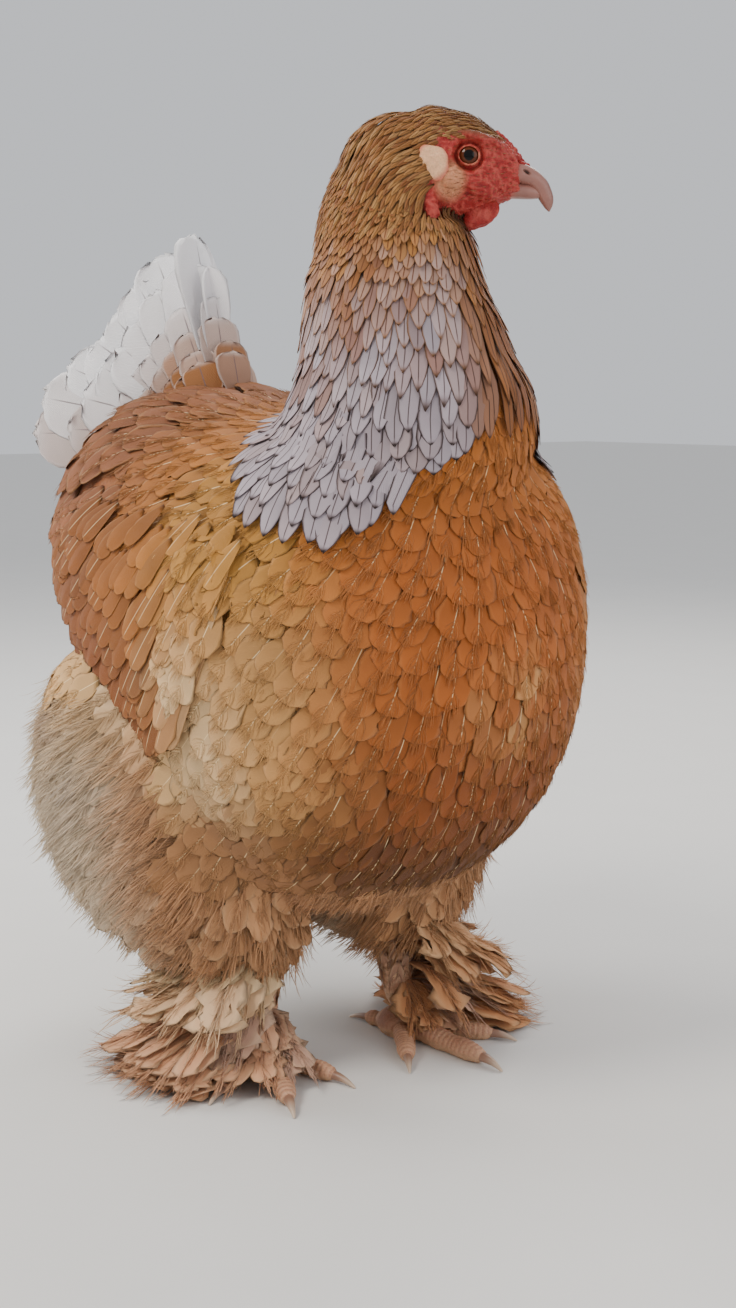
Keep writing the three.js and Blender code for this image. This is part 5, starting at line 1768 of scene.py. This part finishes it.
def crowned(p, normal):
    """Where the crown, the rear of the head, the throat and the far side's jaw carry short feathers."""
    x, y, z = to_head(p).T
    cap = (z > mix(11.5, 6.0, ramp(x, 4, -12))) & (x < 23)
    rear = x < mix(-22, -15, np.clip((-14 - z) / 30, 0, 1)) - 5 * ramp(z, -8, -16)
    throat = (z < mix(-33, -42, ramp(x, -4, -12))) & (x < 4)
    beside = (y > 18.5) & (z < -5) & (x < 4)
    return (cap | rear | throat | beside) & (p[:, 2] > 434 + 5 * noise(p, 7, 31))


def bristly(p, normal):
    x, y, z = to_head(p).T
    return (x > -12) & (x < 24) & (z < 10) & (z > -22) & (np.hypot(x, z) > 8)


def head_gap(p):
    x, y, z = to_head(p).T
    return mix(1.5, 3.1, ramp(x + 0.5 * z, 20, -60))


tips = head_ground.scatter(head_gap, crowned, 81, 8)
count = len(tips)
rng = np.random.default_rng(82)
gap = head_gap(tips)
line, normal = head_ground.trace(tips, gap * rng.uniform(4.6, 6.0, count), head_flow, H_STATIONS)
lift = mix(-0.5, 0.5, H_STATIONS[None] ** 0.8) + rng.uniform(0, 0.6, (count, 1)) * H_STATIONS[None] ** 2
h = to_head(tips)
shaded = ramp(h[:, 2], -24, -36) * ramp(h[:, 0], -26, -6) * ramp(np.abs(h[:, 1]), 20, 12)
base = blended(
    HACKLE_GOLD,
    (HACKLE_BROWN, rng.uniform(-0.2, 0.9, count)),
    (PALE, rng.uniform(-0.6, 0.5, count)),
    (HACKLE_BROWN * 0.45, shaded),
)
look = look_of(base, blended(base, (PALE, 0.4)), 0.4, base * 0.35, 0.8)
feathers = Feathers(line, normal, H_STATIONS, gap * 0.5, lift, look, unwrap_head(h))
coat = Coat()
coat.vanes(feathers, "hackle", 83, columns=2, cup=0.06, ridge=0.04, thick=0.1, roll=0.06)
coat.piece("head_feathers", HACKLE, ["head"])

B_STATIONS = np.array([0, 0.5, 1.0])
tips = face_ground.scatter(2.3, bristly, 84, 8)
count = len(tips)
rng = np.random.default_rng(85)
line, normal = face_ground.trace(tips, rng.uniform(2.0, 4.0, count), head_flow, B_STATIONS)
lift = mix(0.0, 0.5, B_STATIONS[None]) + rng.uniform(0, 0.6, (count, 1)) * B_STATIONS[None]
base = blended(BRISTLE, (PALE, rng.uniform(0, 0.6, count)))
look, spot = look_of(base, base, 0, base, 0), unwrap_head(to_head(tips))
coat = Coat()
feathers = Feathers(line, normal, B_STATIONS, np.full(count, 0.16), lift, look, spot)
coat.vanes(feathers, "hackle", 86, columns=2, cup=0, ridge=0.04, thick=0.1)
coat.piece("face_bristles", HACKLE, ["head"])

# Stage, light and camera

PHOTO_WIDE, PHOTO_HIGH = 736, 1308
LENS, HORIZON, MIDDLE = 1784.0, 393, 325  # in the photo's pixels: focal length, horizon's row, hen's column
CAMERA_AWAY, CAMERA_UP, SENSOR = 962, 361, 36  # millimetres
VIEW = math.radians(54)
RIGHT = np.array([math.cos(VIEW), math.sin(VIEW), 0])
AWAY = np.array([-math.sin(VIEW), math.cos(VIEW), 0])
AIM = np.array([0, 0, 0.25])
FLOOR_HALF, FLOOR_Z = 9.0, -0.0002


def stage_plane(name, size, z, material):
    mesh = bpy.data.meshes.new(name)
    corners = [(-size, -size, z), (size, -size, z), (size, size, z), (-size, size, z)]
    mesh.from_pydata(corners, [], [(0, 1, 2, 3)])
    mesh.materials.append(material)
    thing = bpy.data.objects.new(name, mesh)
    bpy.context.scene.collection.objects.link(thing)
    thing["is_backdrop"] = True


def lamp(name, right, away, up, size, watts, tint):
    light = bpy.data.lights.new(name, "AREA")
    light.shape, light.size, light.energy, light.color = "DISK", size, watts, tint
    thing = bpy.data.objects.new(name, light)
    place = Vector(AIM + RIGHT * right + AWAY * away + Z * up)
    thing.location = place
    thing.rotation_euler = (place - Vector(AIM)).to_track_quat("Z", "Y").to_euler()
    bpy.context.scene.collection.objects.link(thing)


stage_plane("floor", FLOOR_HALF, FLOOR_Z, floor_material())
lamp("key", -1.0, -0.75, 1.35, 0.7, 22, (1.0, 0.94, 0.84))
lamp("fill", 1.3, -0.8, 0.5, 1.2, 7, (1.0, 0.96, 0.92))
lamp("back", 0.5, 1.3, 1.2, 0.9, 14, (1.0, 0.96, 0.9))
lamp("rim", -1.3, 0.6, 0.8, 0.8, 14, (1.0, 0.98, 0.96))

world = bpy.data.worlds.new("studio")
bpy.context.scene.world = world
world.use_nodes = True
sky = world.node_tree.nodes["Background"]
sky.inputs[0].default_value = (0.86, 0.88, 0.92, 1)
sky.inputs[1].default_value = 0.82

yaw = math.atan((PHOTO_WIDE / 2 - MIDDLE) / LENS)
pitch = math.atan((PHOTO_HIGH / 2 - HORIZON) / LENS)
right = RIGHT * math.cos(yaw) - AWAY * math.sin(yaw)
level = RIGHT * math.sin(yaw) + AWAY * math.cos(yaw)
ahead = level * math.cos(pitch) - Z * math.sin(pitch)
up = level * math.sin(pitch) + Z * math.cos(pitch)
camera = bpy.data.cameras.new("camera")
camera.sensor_fit = "VERTICAL"
camera.sensor_height = SENSOR
camera.lens = SENSOR * LENS / PHOTO_HIGH
camera.clip_start = 0.01
viewer = bpy.data.objects.new("camera", camera)
matrix = np.eye(4)
matrix[:3, 0], matrix[:3, 1], matrix[:3, 2] = right, up, -ahead
matrix[:3, 3] = (AWAY * -CAMERA_AWAY + Z * CAMERA_UP + OFFSET) / 1000
viewer.matrix_world = Matrix(matrix.tolist())
bpy.context.scene.collection.objects.link(viewer)
bpy.context.scene.camera = viewer

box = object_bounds()
sizes = {"cad": [list(corner) for corner in cad_box], "visual": [list(corner) for corner in box]}
